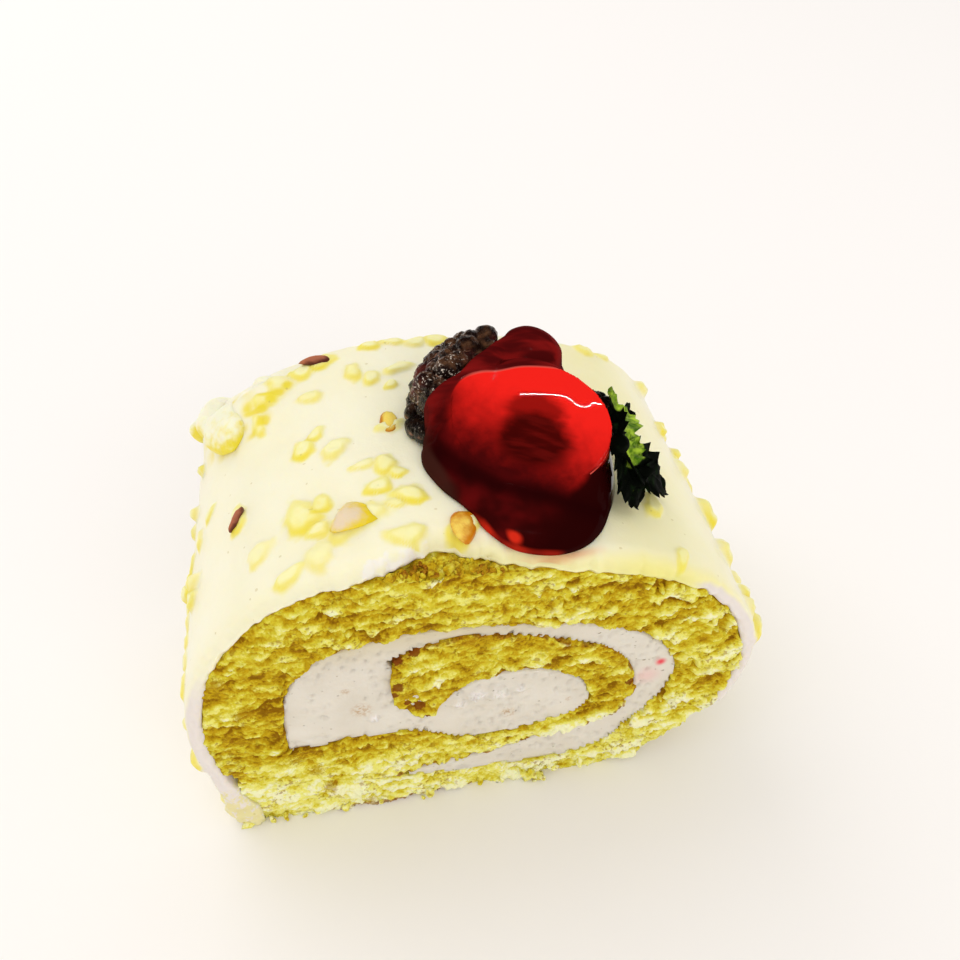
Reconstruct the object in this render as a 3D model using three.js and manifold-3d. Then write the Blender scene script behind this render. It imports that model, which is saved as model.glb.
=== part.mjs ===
// A slice of swiss roll cake: a sponge sheet rolled up with cream, iced over its top and both sides,
// strewn with chopped almonds, and topped with a halved strawberry and three dark berries under red glaze.
// Millimetres, +Z up. The slice stands on its bare underside, its roll axis along Y, the origin under its
// middle. The cut that faces -Y is square to the axis, and the cut that faces +Y is slightly askew.
import * as THREE from "three";
import { mergeVertices } from "three/addons/utils/BufferGeometryUtils.js";
import Module from "manifold-3d";

const SLICE_FRONT = -27; // the plane of the front cut
const SLICE_BACK = 27; // the back cut on the axis
const BACK_SKEW = 0.11; // how much longer the slice gets for each millimetre to the right
const CLEARANCE = 0.3; // between pieces that lie on each other
const CRAG = 0.8; // how far torn crumb stands out of a cut, or falls back
const LEDGE = { length: 7, height: 2.6 }; // of the ledges that the knife has torn in the crumb
const CRUMB = 2.4; // the size of single crumbs
const LEDGE_SLANT = { along: 0.15, rise: 0.12 }; // how ledges lean, and how they rise to the right
const CRAG_SHARE = { ledges: 0.9, crumbs: 0.6 }; // of the relief
const CUT_PAST = 5; // how far a body that only cuts room for the sheet reaches past the slice
const CREAM_SET_BACK = 0.4; // of the cream behind the crumb of a cut
const ICING = 2.1; // thickness of the icing
const ICING_WAVE = { height: 0.3, round: 11, along: 16 }; // its unevenness, and the size of its waves
const ICING_REACH = { rightEnd: 14, foot: 0.7 }; // the heights at which the icing ends, right and left
const ICING_ROWS = 5; // of cells along the roll
const TOP_START = 30; // the height above which a place lies on the slice's top
const STEEPEST = 0.5; // slope of the top, as its upward share, that the icing's height is worked out for
const FOOT_START = 19; // the height from which the icing's left foot goes straight down
// Where the icing has come off the front edge: only above a height, with a wavering outline.
const TORN_PATCH = { x: -4.5, width: 15, depth: 4.5, lowest: 40, waver: 0.25, slope: 0.6 };
const DEGREE = Math.PI / 180;

// The sheet's outer face, from its loose end at the left foot to its torn inner end, with its thickness.
const SHEET = [
  [-40.4, 0, 14], [-30, 0, 11], [-20, 0, 8.6], [-8, 0, 5.8], [2, 0, 5.4], [12, 0, 4.8], [21.5, 0.2, 7],
  [29, 2.4, 9.6], [35.5, 8.6, 10.2], [40.8, 16, 11], [43, 25.6, 11], [41, 35.5, 11.4],
  [34.8, 44.2, 11.8], [24, 50.4, 11.6], [10, 54.8, 12], [-5, 57.2, 12.4], [-18, 57, 13],
  [-28, 54, 12.6], [-36, 46.6, 12], [-41, 36.6, 11.8], [-42.8, 25, 12], [-41.4, 16, 11.4],
  [-37, 10.6, 11.2], [-30, 8.4, 12], [-20, 7.4, 13], [-10, 8, 12.2], [0, 9.6, 6], [11, 12.6, 4],
  [19.4, 14.6, 5.2], [25, 20.6, 7.8], [24.8, 27.6, 8], [20.4, 34.2, 8], [12, 38.6, 7.8], [2, 42, 11],
  [-7, 42, 14], [-14, 39.2, 13],
];
const SHEET_STEPS = 122;
const FOOT_STEP = 78; // a step at the left foot, where the outer turn becomes the inner one
const JOINT = 1.5; // how far the ends are drawn in where the turns join
const JOINT_STEPS = 3; // over which the turns overlap there
const CREAM_STEPS = 8; // past the foot, to where the room for the cream closes

// Chopped almonds: the angle round the roll, seen from the front about a hub in its middle, the place
// along the roll, the length, and the turn on the icing.
const NUT_HUB = 28;
const NUTS = [
  // the back edge, from the left round to the right
  [157, 22, 8, 20], [152, 19, 9, 60], [146, 15, 8.6, 30], [141, 11, 7, 50], [136, 9.4, 3.8, 80],
  [134, 14.3, 4.4, 20], [131, 17.9, 5, 60], [126, 20.4, 5.2, 60], [122, 22.3, 4.8, 0],
  [125, 13.2, 4.8, 0], [114, 17.1, 4.6, 75], [109, 14.8, 4, 80], [108, 24.4, 4, 10], [101, 25, 4.2, 0],
  [94, 24.7, 4, 20], [87, 25.6, 5.2, 20], [35, 28.6, 5, 0], [14, 29, 4.6, 0],
  // the top, left of the berries
  [101, 17.1, 5, 30], [106, 2.1, 4.4, 25], [127, 0.6, 5, 60], [124, 3.4, 3.6, 50],
  [120, -1.3, 5, 30], [114, -6.2, 3.8, 10], [109, -6.8, 4.6, 60], [111, -11.3, 4.8, 20],
  [104, -13.6, 5, 5],
  // the top towards the front
  [128, -13.8, 6.6, 85], [124, -12.4, 4.4, 60], [125, -17.1, 4.4, 30], [125, -22, 5.6, 80],
  [117, -17, 9.2, 28], [142, -7.8, 6.6, 75], [137, -17.5, 4.6, 80], [131, -24, 4.4, 40],
  [106, -21.4, 5.6, 20], [94, -20.8, 5.6, 70], [35, -13.2, 5, 70], [33, -23.6, 4.2, 70],
  // the left side
  [158, -1.5, 4, 80], [161, -9.8, 4, 60], [170, -18.2, 4.4, 80], [169, -23.4, 4, 20],
  // the right side
  [8, 21, 3.8, 20], [10, 12, 3.8, 60], [14, 4.8, 4.2, 70], [8, -2.7, 6, 80],
  [12, -14, 5, 80], [7, -20.1, 4.6, 75], [8, -23.4, 4, 30], [1, -23, 6.6, 80],
];
const SIDE_NUTS = { seed: 7, count: 14, lengths: [3, 5], left: [162, 196], right: [-14, 6], margins: [4, 8] };
const NUT_SEED = 100;
// An almond's width as a share of its length, its thickness, how jagged it is, and how far it stands out.
const NUT_SHAPE = { narrowest: 0.6, wider: 0.25, thinnest: 1.3, thicker: 0.12, jag: 0.35, lift: 0.1 };

// The halved strawberry: it lies on its round side, its cut face tipped towards the front.
const STRAWBERRY = {
  tip: [0.8, -4, 66.3], stalkEnd: [22.6, -12, 63.3], tipped: 27, halfWidth: 9.2, depth: 9, crown: 0.5,
  swell: 0.14, pinch: 0.1, rings: 12, sides: 20,
};
// The dark berries: middle, half length and half thickness, the way each points in degrees from +X, and
// how many rings its skin is made of.
const DARK_BERRIES = {
  dark_berry_left: { middle: [3.4, 5.2, 65.4], half: [10.6, 5.9], points: 46, rings: 22 },
  dark_berry_back: { middle: [13.2, 7.4, 63.5], half: [6, 5.4], points: 20, rings: 16 },
  dark_berry_right: { middle: [23.8, 3, 56.8], half: [8.2, 3.6], points: 121, rings: 14 },
};
const DRUPELET = 2; // radius of one bead of a dark berry
const BEAD_RISE = 0.7; // the most that beads stand out of a dark berry's rounded form
// Rows of beads for each radius of length, how far out they reach, how deep they sit and how far apart, in
// radii, the size of the core between them, and how many more sides than rings the skin has.
const BEADS = { rows: 1.15, span: 0.9, sunk: 0.8, spacing: 1.5, core: 0.86, sides: 1.2 };
const BERRY_ROOM = { rings: 10, sides: 14 };
// The calyx: the tip of each leaf, with the leaf's greatest width.
const LEAVES = [
  [24.6, -3.4, 66.4, 3.4], [30.1, 1.5, 58, 5], [28.8, -10.4, 56, 5], [32.8, -10.8, 50, 7.4],
  [26.2, -16.2, 53.3, 7.4], [33.6, -6.2, 49.6, 6.4],
];
const LEAF = {
  thickness: 0.5, cells: [6, 2, 1], tooth: 0.17, fold: 0.25, wave: 0.3, facing: [0.3, -0.4, 0.85],
  rootOut: 0.9, bow: 1.6, start: 0.12, taper: 0.86, blunt: 0.8, waves: [9, 2],
};
const BUTTON = { radius: 1.5, out: 1.2, rings: 4, sides: 6 }; // from which the leaves spread
// The glaze: its edge round a middle point, as angles from +X and how far it reaches there.
const GLAZE_MIDDLE = [10, -6];
const GLAZE_EDGE = [
  [0, 13.2], [20, 12.8], [36, 14.6], [48, 17.6], [60, 20.4], [72, 20.8], [81, 17.4], [90, 13.2], [106, 10.2],
  [125, 9.2], [145, 9.8], [160, 12.2], [170, 14.2], [185, 14.7], [208, 14.5], [229, 14.9], [246, 18],
  [258, 20.3], [272, 20.8], [285, 20], [299, 17.8], [316, 15.4], [338, 14.4],
];
const GLAZE = 1.2; // its thickness over the berries and at the rim of the strawberry's face
const GLAZE_DOME = 0.9; // how much thicker it is over the middle of the face
const POOL = 3.2; // its depth where it has run down in front of them
const GLAZE_CELLS = 14; // each way
const GLAZE_BLEND = 0.7; // how softly what it covers merges into one surface
const GLAZE_RIM = { thinned: 0.9, steepness: 5 }; // how it thins out towards its edge
// Where the glaze starts to drop past the face's rim, over what share of the face, and how far.
const FACE_RIM = { start: 0.98, width: 0.42, drop: 10 };

// Smooth noise between -1 and 1: values drawn for the points of a lattice by hashing, and blended.
function drawn(ix, iy, iz) {
  let h = Math.imul(ix, 374761393) + Math.imul(iy, 668265263) + Math.imul(iz, 1440662683);
  h = Math.imul(h ^ (h >>> 13), 1274126177);
  return ((h ^ (h >>> 16)) >>> 0) / 2147483648 - 1;
}
function noise(x, y, z) {
  const cell = [x, y, z].map(Math.floor);
  const part = [x, y, z].map((v, i) => THREE.MathUtils.smoothstep(v - cell[i], 0, 1));
  let sum = 0;
  for (let corner = 0; corner < 8; corner++) {
    const step = [corner & 1, (corner >> 1) & 1, corner >> 2];
    const share = step.reduce((s, one, i) => s * (one ? part[i] : 1 - part[i]), 1);
    sum += share * drawn(...cell.map((c, i) => c + step[i]));
  }
  return sum;
}

// Random numbers between 0 and 1 from a seed.
function draws(seed) {
  let state = seed;
  return () => {
    state = (Math.imul(state, 1664525) + 1013904223) >>> 0;
    return state / 4294967296;
  };
}

const wasm = await Module();
wasm.setup();

function solid(geometry) {
  const bare = geometry.clone();
  bare.deleteAttribute("normal");
  bare.deleteAttribute("uv");
  const merged = mergeVertices(bare, 1e-4);
  const mesh = new wasm.Mesh({
    numProp: 3,
    vertProperties: merged.getAttribute("position").array,
    triVerts: new Uint32Array(merged.index.array),
  });
  return new wasm.Manifold(mesh);
}

function geometryOf(made) {
  const mesh = made.getMesh();
  const points = new Float32Array(mesh.numVert * 3);
  for (let i = 0; i < points.length; i++) {
    points[i] = mesh.vertProperties[Math.floor(i / 3) * mesh.numProp + (i % 3)];
  }
  const geometry = new THREE.BufferGeometry();
  geometry.setAttribute("position", new THREE.BufferAttribute(points, 3));
  geometry.setIndex(new THREE.BufferAttribute(new Uint32Array(mesh.triVerts), 1));
  return geometry;
}

function biggest(made) {
  return made.decompose().sort((a, b) => b.volume() - a.volume())[0];
}

// The closed skin of a block of nu x nv x nw cells. at(i, j, k) places a corner, and i, j and k run
// right-handedly. Opposite faces are split into triangles alike.
function block(nu, nv, nw, at) {
  const points = [];
  const numbers = new Map();
  const index = [];
  function corner(i, j, k) {
    const key = (i * (nv + 1) + j) * (nw + 1) + k;
    if (!numbers.has(key)) {
      numbers.set(key, points.length / 3);
      points.push(...at(i, j, k));
    }
    return numbers.get(key);
  }
  function face(na, nb, place, outward) {
    for (let a = 0; a < na; a++) {
      for (let b = 0; b < nb; b++) {
        const [p, q, r, s] = [place(a, b), place(a + 1, b), place(a + 1, b + 1), place(a, b + 1)];
        index.push(...(outward ? [p, q, r, p, r, s] : [p, r, q, p, s, r]));
      }
    }
  }
  for (const end of [0, 1]) {
    face(nu, nv, (i, j) => corner(i, j, end * nw), end === 1);
    face(nv, nw, (j, k) => corner(end * nu, j, k), end === 1);
    face(nw, nu, (k, i) => corner(i, end * nv, k), end === 1);
  }
  const geometry = new THREE.BufferGeometry();
  geometry.setAttribute("position", new THREE.Float32BufferAttribute(points, 3));
  geometry.setIndex(index);
  return geometry;
}

// A closed ball-like skin: at(direction) moves each point of a unit sphere whose poles lie on X.
function ball(rings, sides, at) {
  const geometry = new THREE.SphereGeometry(1, sides, rings).rotateZ(-Math.PI / 2);
  const place = geometry.getAttribute("position");
  const direction = new THREE.Vector3();
  for (let i = 0; i < place.count; i++) {
    direction.fromBufferAttribute(place, i).normalize();
    place.setXYZ(i, ...at(direction));
  }
  return geometry;
}

function named(name, geometry, color, roughness) {
  const smooth = geometry.clone();
  smooth.computeVertexNormals();
  const mesh = new THREE.Mesh(smooth, new THREE.MeshStandardMaterial({ color, roughness, metalness: 0 }));
  mesh.name = name;
  return mesh;
}

// ---- the sheet of sponge ----

const sheetCurve = new THREE.CatmullRomCurve3(
  SHEET.map(([x, z, thickness]) => new THREE.Vector3(x, z, thickness)), false, "centripetal");
const stations = sheetCurve.getSpacedPoints(SHEET_STEPS).map((p, i, all) => {
  const before = all[Math.max(i - 1, 0)];
  const after = all[Math.min(i + 1, SHEET_STEPS)];
  const inward = new THREE.Vector2(before.y - after.y, after.x - before.x).normalize();
  return { x: p.x, z: p.y, thickness: p.z, inward };
});

function backCut(x) {
  return SLICE_BACK + BACK_SKEW * x;
}

// The knife has torn the crumb into ledges that run level and rise a little to the right.
function crag(x, z, side) {
  const along = x + LEDGE_SLANT.along * z;
  const level = z - LEDGE_SLANT.rise * x;
  const ledges = noise(along / LEDGE.length, side * 9, level / LEDGE.height);
  const crumbs = noise(x / CRUMB, side * 5 + 2, z / CRUMB);
  return CRAG * THREE.MathUtils.clamp(CRAG_SHARE.ledges * ledges + CRAG_SHARE.crumbs * crumbs, -1, 1);
}

// Part of the sheet between two steps. A grown sheet cuts room for it: it is thicker all round and longer,
// without crags. The ends at which the two parts of the sheet join are drawn in, so that each lies inside
// the other.
function sheetBetween(first, last, grow) {
  const across = grow ? 1 : 4;
  return block(last - first, 1, across, (i, j, k) => {
    const step = first + i;
    const { x, z, thickness, inward } = stations[step];
    const drawnIn = (i === 0 || step === last) && step > 0 && step < SHEET_STEPS ? JOINT : 0;
    const depth = THREE.MathUtils.lerp(drawnIn - grow, thickness + grow - drawnIn, k / across);
    const onward = step === SHEET_STEPS ? grow : 0;
    const px = x + inward.x * depth + inward.y * onward;
    const pz = z + inward.y * depth - inward.x * onward;
    const front = SLICE_FRONT + drawnIn - (grow ? CUT_PAST : crag(px, pz, 0));
    const back = backCut(px) - drawnIn + (grow ? CUT_PAST : crag(px, pz, 1));
    return [px, j ? back : front, grow ? pz : Math.max(pz, 0)];
  });
}

function sheetSolid(grow) {
  const outerTurn = solid(sheetBetween(0, FOOT_STEP, grow));
  const innerTurn = solid(sheetBetween(FOOT_STEP - JOINT_STEPS, SHEET_STEPS, grow));
  return outerTurn.add(innerTurn);
}

const sponge = biggest(sheetSolid(0));

// ---- the cream, which fills all the room between the turns ----

const room = new THREE.Shape(
  stations.slice(0, FOOT_STEP + CREAM_STEPS).map(({ x, z, thickness, inward }) => new THREE.Vector2(
    x + inward.x * thickness / 2, z + inward.y * thickness / 2)));
const roomBlock = new THREE.ExtrudeGeometry(room, { depth: 1, steps: 1, bevelEnabled: false });
roomBlock.rotateX(Math.PI / 2).translate(0, 1, 0);
const roomPoints = roomBlock.getAttribute("position");
for (let i = 0; i < roomPoints.count; i++) {
  const atBack = roomPoints.getY(i) > 0.5;
  const back = backCut(roomPoints.getX(i)) - CREAM_SET_BACK;
  roomPoints.setY(i, atBack ? back : SLICE_FRONT + CREAM_SET_BACK);
}
const cream = biggest(solid(roomBlock).subtract(sheetSolid(CLEARANCE)));

// ---- the icing, with chopped almonds ----

// Steps of the sheet that the icing covers. Its left foot goes straight down from the last of them.
const covered = stations.slice(0, FOOT_STEP).filter(({ x, z }) =>
  (x > 0 ? z > ICING_REACH.rightEnd : z > FOOT_START));

function wave(x, y, z) {
  const { height, round, along } = ICING_WAVE;
  return height * noise(x / round, y / along, z / round + 4);
}

// The icing's outer surface over a place on the slice's top.
function icingTop(x, y) {
  const i = Math.max(covered.findIndex((s) => s.x < x && s.z > TOP_START), 1);
  const [a, b] = [covered[i - 1], covered[i]];
  const share = (a.x - x) / (a.x - b.x);
  const z = THREE.MathUtils.lerp(a.z, b.z, share);
  const fall = THREE.MathUtils.lerp(a.inward.y, b.inward.y, share);
  return z + (CLEARANCE + ICING + wave(x, y, z)) / Math.max(-fall, STEEPEST);
}

function tornDepth(x, z) {
  if (z < TORN_PATCH.lowest) return 0;
  const near = 1 - Math.abs(x - TORN_PATCH.x) / (TORN_PATCH.width / 2);
  const wavering = near + TORN_PATCH.waver * noise(x / 2, 3, 1);
  return TORN_PATCH.depth * THREE.MathUtils.smoothstep(wavering, 0, TORN_PATCH.slope);
}

const icingSheet = solid(block(covered.length, ICING_ROWS, 1, (i, j, k) => {
  const foot = i === covered.length;
  const { x, z, inward } = covered[foot ? i - 1 : i];
  const y = THREE.MathUtils.lerp(SLICE_FRONT + tornDepth(x, z), backCut(x), j / ICING_ROWS);
  const out = CLEARANCE + (k === 0 ? ICING + wave(x, y, z) : 0);
  if (foot) return [SHEET[0][0] - out, y, ICING_REACH.foot];
  return [x - inward.x * out, y, z - inward.y * out];
}));

// A chopped almond: a jagged lump set into the icing at an angle round the roll and a place along it.
function nut([angle, along, length, turn], seed, grow) {
  const draw = draws(seed);
  const ray = new THREE.Vector2(Math.cos(angle * DEGREE), Math.sin(angle * DEGREE));
  const seat = covered.reduce((best, s) => {
    const off = Math.abs((s.x * ray.y) - (s.z - NUT_HUB) * ray.x);
    const ahead = s.x * ray.x + (s.z - NUT_HUB) * ray.y > 0;
    return ahead && off < best.off ? { off, s } : best;
  }, { off: Infinity }).s;
  const out = new THREE.Vector3(-seat.inward.x, 0, -seat.inward.y);
  const up = CLEARANCE + ICING + NUT_SHAPE.lift;
  const middle = new THREE.Vector3(seat.x, along, seat.z).addScaledVector(out, up);
  const round = new THREE.Vector3(0, 1, 0).cross(out);
  const width = length * (NUT_SHAPE.narrowest + NUT_SHAPE.wider * draw());
  const size = [length, width, NUT_SHAPE.thinnest + length * NUT_SHAPE.thicker].map((v) => v / 2 + grow);
  const lump = new THREE.IcosahedronGeometry(1, 0);
  const bare = mergeVertices(lump.deleteAttribute("normal").deleteAttribute("uv"));
  const place = bare.getAttribute("position");
  for (let i = 0; i < place.count; i++) {
    const jag = 1 + NUT_SHAPE.jag * (draw() - 0.5);
    place.setXYZ(i, ...[place.getX(i), place.getY(i), place.getZ(i)].map((v, n) => v * size[n] * jag));
  }
  const frame = new THREE.Matrix4().makeBasis(round, new THREE.Vector3(0, 1, 0), out).setPosition(middle);
  return bare.rotateZ(turn * DEGREE).applyMatrix4(frame);
}

// More almonds on both sides, low down, drawn at random.
function sideNuts() {
  const draw = draws(SIDE_NUTS.seed);
  const [frontMargin, backMargin] = SIDE_NUTS.margins;
  return Array.from({ length: SIDE_NUTS.count }, (_, i) => {
    const range = i % 2 ? SIDE_NUTS.left : SIDE_NUTS.right;
    const angle = THREE.MathUtils.lerp(...range, draw());
    const share = (i + draw()) / SIDE_NUTS.count;
    const along = THREE.MathUtils.lerp(SLICE_FRONT + frontMargin, SLICE_BACK - backMargin, share);
    return [angle, along, THREE.MathUtils.lerp(...SIDE_NUTS.lengths, draw()), 180 * draw()];
  });
}

function nutsSolid(grow) {
  return [...NUTS, ...sideNuts()]
    .map((row, i) => solid(nut(row, NUT_SEED + i, grow)))
    .reduce((all, one) => all.add(one));
}

const icing = icingSheet.add(nutsSolid(0));

// ---- the halved strawberry ----

const stalkEnd = new THREE.Vector3(...STRAWBERRY.stalkEnd);
const strawberryMiddle = new THREE.Vector3(...STRAWBERRY.tip).add(stalkEnd).multiplyScalar(0.5);
const halfLength = stalkEnd.distanceTo(strawberryMiddle);
const lengthwise = stalkEnd.clone().sub(strawberryMiddle).normalize();
const crosswise = new THREE.Vector3(0, 0, 1).cross(lengthwise).normalize()
  .applyAxisAngle(lengthwise, STRAWBERRY.tipped * DEGREE);
const faceNormal = lengthwise.clone().cross(crosswise);

// Lifts a point of a piece that lies on the icing out of it. A grown piece goes on down through it.
function laid([x, y, z], grow) {
  return [x, y, grow ? z : Math.max(z, icingTop(x, y) + CLEARANCE)];
}

function strawberry(grow) {
  const { halfWidth, depth, crown, swell, pinch, rings, sides } = STRAWBERRY;
  return solid(ball(rings, sides, ({ x: u, y: v, z: w }) => {
    const shoulder = 1 + swell * u - pinch * u * u;
    const height = w > 0 ? crown + grow : depth * shoulder + grow;
    const point = strawberryMiddle.clone()
      .addScaledVector(lengthwise, (halfLength + grow) * u)
      .addScaledVector(crosswise, (halfWidth * shoulder + grow) * v)
      .addScaledVector(faceNormal, height * w);
    return laid(point, grow);
  }));
}

// ---- the dark berries, each a core set with rows of beads ----

function beads(halfLong, halfThick) {
  const rows = Math.round(halfLong / DRUPELET * BEADS.rows);
  const deep = DRUPELET * BEADS.sunk;
  return Array.from({ length: rows }, (_, r) => {
    const u = 2 * BEADS.span * (r + 0.5) / rows - BEADS.span;
    const ring = Math.sqrt(1 - u * u) * (halfThick - deep);
    const count = Math.max(Math.round(2 * Math.PI * ring / (DRUPELET * BEADS.spacing)), 1);
    return Array.from({ length: count }, (_, n) => {
      const angle = 2 * Math.PI * (n + 0.5 * (r % 2)) / count;
      return new THREE.Vector3(
        u * (halfLong - deep), ring * Math.cos(angle), ring * Math.sin(angle));
    });
  }).flat();
}

function berryFrame({ middle, points }) {
  return new THREE.Matrix4().makeRotationZ(points * DEGREE).setPosition(...middle);
}

function darkBerry(berry) {
  const [halfLong, halfThick] = berry.half;
  const centres = beads(halfLong, halfThick);
  return solid(ball(berry.rings, Math.round(berry.rings * BEADS.sides), (direction) => {
    const { x, y, z } = direction;
    const core = BEADS.core / Math.hypot(x / halfLong, Math.hypot(y, z) / halfThick);
    const reach = centres.reduce((most, bead) => {
      const ahead = bead.dot(direction);
      const inside = DRUPELET ** 2 - bead.lengthSq() + ahead ** 2;
      return inside > 0 ? Math.max(most, ahead + Math.sqrt(inside)) : most;
    }, core);
    return laid(direction.clone().multiplyScalar(reach).applyMatrix4(berryFrame(berry)), 0);
  }));
}

// The room that a dark berry takes up, beads and all, with the clearance round it.
function berryRoom(berry) {
  const [halfLong, halfThick] = berry.half.map((half) => half + BEAD_RISE + CLEARANCE);
  return solid(ball(BERRY_ROOM.rings, BERRY_ROOM.sides, ({ x, y, z }) =>
    new THREE.Vector3(halfLong * x, halfThick * y, halfThick * z).applyMatrix4(berryFrame(berry))));
}

// ---- the calyx ----

// One leaf: a thin toothed blade from the stalk end to its tip, folded along its midrib and wavy.
function leaf([x, y, z, width], grow) {
  const root = stalkEnd.clone().addScaledVector(lengthwise, LEAF.rootOut);
  const tip = new THREE.Vector3(x, y, z);
  const bow = root.clone().lerp(tip, 0.5).addScaledVector(lengthwise, LEAF.bow);
  const rib = new THREE.QuadraticBezierCurve3(root, bow, tip);
  const out = tip.clone().sub(root).normalize();
  const side = new THREE.Vector3(...LEAF.facing).cross(out).normalize();
  const face = out.clone().cross(side);
  const [cellsAlong, cellsAcross, cellsDeep] = LEAF.cells;
  const [wavesAlong, wavesAcross] = LEAF.waves;
  return solid(block(cellsAlong, cellsAcross, cellsDeep, (i, j, k) => {
    const along = i / cellsAlong;
    const across = 2 * j / cellsAcross - 1;
    const teeth = 1 + (i % 2 ? LEAF.tooth : -LEAF.tooth);
    const outline = Math.sin(Math.PI * (LEAF.start + LEAF.taper * along)) ** LEAF.blunt;
    const blade = (width / 2) * outline * teeth + grow;
    const fold = LEAF.fold * blade * across * across;
    const wavy = LEAF.wave * Math.sin(wavesAlong * along + wavesAcross * across + x);
    const point = rib.getPoint(along)
      .addScaledVector(side, blade * across)
      .addScaledVector(face, fold + wavy);
    point.z = Math.max(point.z, icingTop(point.x, point.y) + CLEARANCE + LEAF.thickness);
    return point.addScaledVector(face, (k - 0.5) * (LEAF.thickness + 2 * grow));
  }));
}

function calyx(grow) {
  const button = solid(ball(BUTTON.rings, BUTTON.sides, (direction) => direction.clone()
    .multiplyScalar(BUTTON.radius + grow).add(stalkEnd).addScaledVector(lengthwise, BUTTON.out)));
  return LEAVES.map((row) => leaf(row, grow)).reduce((all, one) => all.add(one), button);
}

// ---- the glaze, which drapes over the strawberry and the berries and pools in front of them ----

// The height of an ellipsoid's upper skin over a place, or nothing where it doesn't reach.
function mound({ middle, half, points }, extra, x, y) {
  const [dx, dy] = [x - middle[0], y - middle[1]];
  const [c, s] = [Math.cos(points * DEGREE), Math.sin(points * DEGREE)];
  const apart = Math.hypot((dx * c + dy * s) / (half[0] + extra), (dy * c - dx * s) / (half[1] + extra));
  return apart < 1 ? middle[2] + (half[1] + extra) * Math.sqrt(1 - apart * apart) : -Infinity;
}

// The height of the strawberry's cut face over a place, and the height of the glaze on it, which drops off
// steeply past the face's rim.
function overFace(x, y) {
  const offset = new THREE.Vector3(x, y, 0).sub(strawberryMiddle);
  const plane = strawberryMiddle.z - (offset.x * faceNormal.x + offset.y * faceNormal.y) / faceNormal.z;
  offset.z = plane - strawberryMiddle.z;
  const apart = Math.hypot(offset.dot(lengthwise) / halfLength,
    offset.dot(crosswise) / STRAWBERRY.halfWidth);
  const past = THREE.MathUtils.clamp((apart - FACE_RIM.start) / FACE_RIM.width, 0, 1);
  const drop = FACE_RIM.drop * (1 - Math.sqrt(1 - past * past));
  return {
    skin: apart < 1 ? plane + STRAWBERRY.crown + CLEARANCE : -Infinity,
    cover: plane + GLAZE + GLAZE_DOME * (1 - Math.min(apart, 1) ** 2) - drop,
  };
}

function glazeHeights(x, y, share) {
  const { dark_berry_left: left, dark_berry_back: back } = DARK_BERRIES;
  const floor = icingTop(x, y) + CLEARANCE;
  const face = overFace(x, y);
  const under = Math.max(floor, face.skin, mound(left, BEAD_RISE, x, y), mound(back, BEAD_RISE, x, y));
  const rounded = Math.sqrt(1 - GLAZE_RIM.thinned * share ** GLAZE_RIM.steepness);
  const overBeads = BEAD_RISE + GLAZE;
  const covers = [
    floor + POOL, face.cover, mound(left, overBeads, x, y), mound(back, overBeads, x, y),
  ];
  const top = GLAZE_BLEND * Math.log(
    covers.reduce((sum, h) => sum + Math.exp((h - floor) / GLAZE_BLEND), 0));
  return { floor, top: THREE.MathUtils.lerp(under, floor + top, rounded) };
}

const glazeEdge = new THREE.CatmullRomCurve3(GLAZE_EDGE.map(([angle, reach]) =>
  new THREE.Vector3(reach * Math.cos(angle * DEGREE), reach * Math.sin(angle * DEGREE), 0)), true);

// A square grid is bent into a disc, and the disc is stretched to the glaze's edge.
const glazeBlock = block(GLAZE_CELLS, GLAZE_CELLS, 1, (i, j, k) => {
  const [a, b] = [2 * i / GLAZE_CELLS - 1, 2 * j / GLAZE_CELLS - 1];
  const [u, v] = [a * Math.sqrt(1 - b * b / 2), b * Math.sqrt(1 - a * a / 2)];
  const share = Math.hypot(u, v);
  const turn = (Math.atan2(v, u) / (2 * Math.PI) + 1) % 1;
  const edge = glazeEdge.getPointAt(turn);
  const x = GLAZE_MIDDLE[0] + edge.x * share;
  const y = GLAZE_MIDDLE[1] + edge.y * share;
  const { floor, top } = glazeHeights(x, y, share);
  return [x, y, k ? top : floor];
});

const fruit = strawberry(0);
const leaves = biggest(calyx(0).subtract(strawberry(CLEARANCE)));
const berryNames = Object.keys(DARK_BERRIES);
const berryRooms = berryNames.map((name) => berryRoom(DARK_BERRIES[name]));
const grownFruit = [strawberry(CLEARANCE), calyx(CLEARANCE)];

function cutBy(whole, ...cutters) {
  return biggest(cutters.reduce((rest, one) => rest.subtract(one), whole));
}

const berries = berryNames.map((name, n) =>
  cutBy(darkBerry(DARK_BERRIES[name]), ...grownFruit, ...berryRooms.slice(0, n)));
const glaze = cutBy(solid(glazeBlock), ...grownFruit, ...berryRooms, nutsSolid(CLEARANCE));

export default new THREE.Group().add(
  named("sponge", geometryOf(sponge), 0xe0c34a, 0.95),
  named("cream_filling", geometryOf(cream), 0xe6dcd6, 0.6),
  named("icing", geometryOf(icing), 0xf6efc4, 0.35),
  named("strawberry", geometryOf(fruit), 0xe01410, 0.4),
  named("strawberry_leaves", geometryOf(leaves), 0x3f7a1c, 0.6),
  ...berries.map((one, n) => named(berryNames[n], geometryOf(one), 0x2a1416, 0.3)),
  named("red_glaze", geometryOf(glaze), 0x7a0508, 0.1),
);
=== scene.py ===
"""A slice of swiss roll cake: the looks of each piece, in the order in which the cake is put together.

Lengths are written in millimetres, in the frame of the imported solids, and become metres in the meshes.
"""
import bmesh
import bpy
import numpy as np
from mathutils import Matrix, Vector


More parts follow.
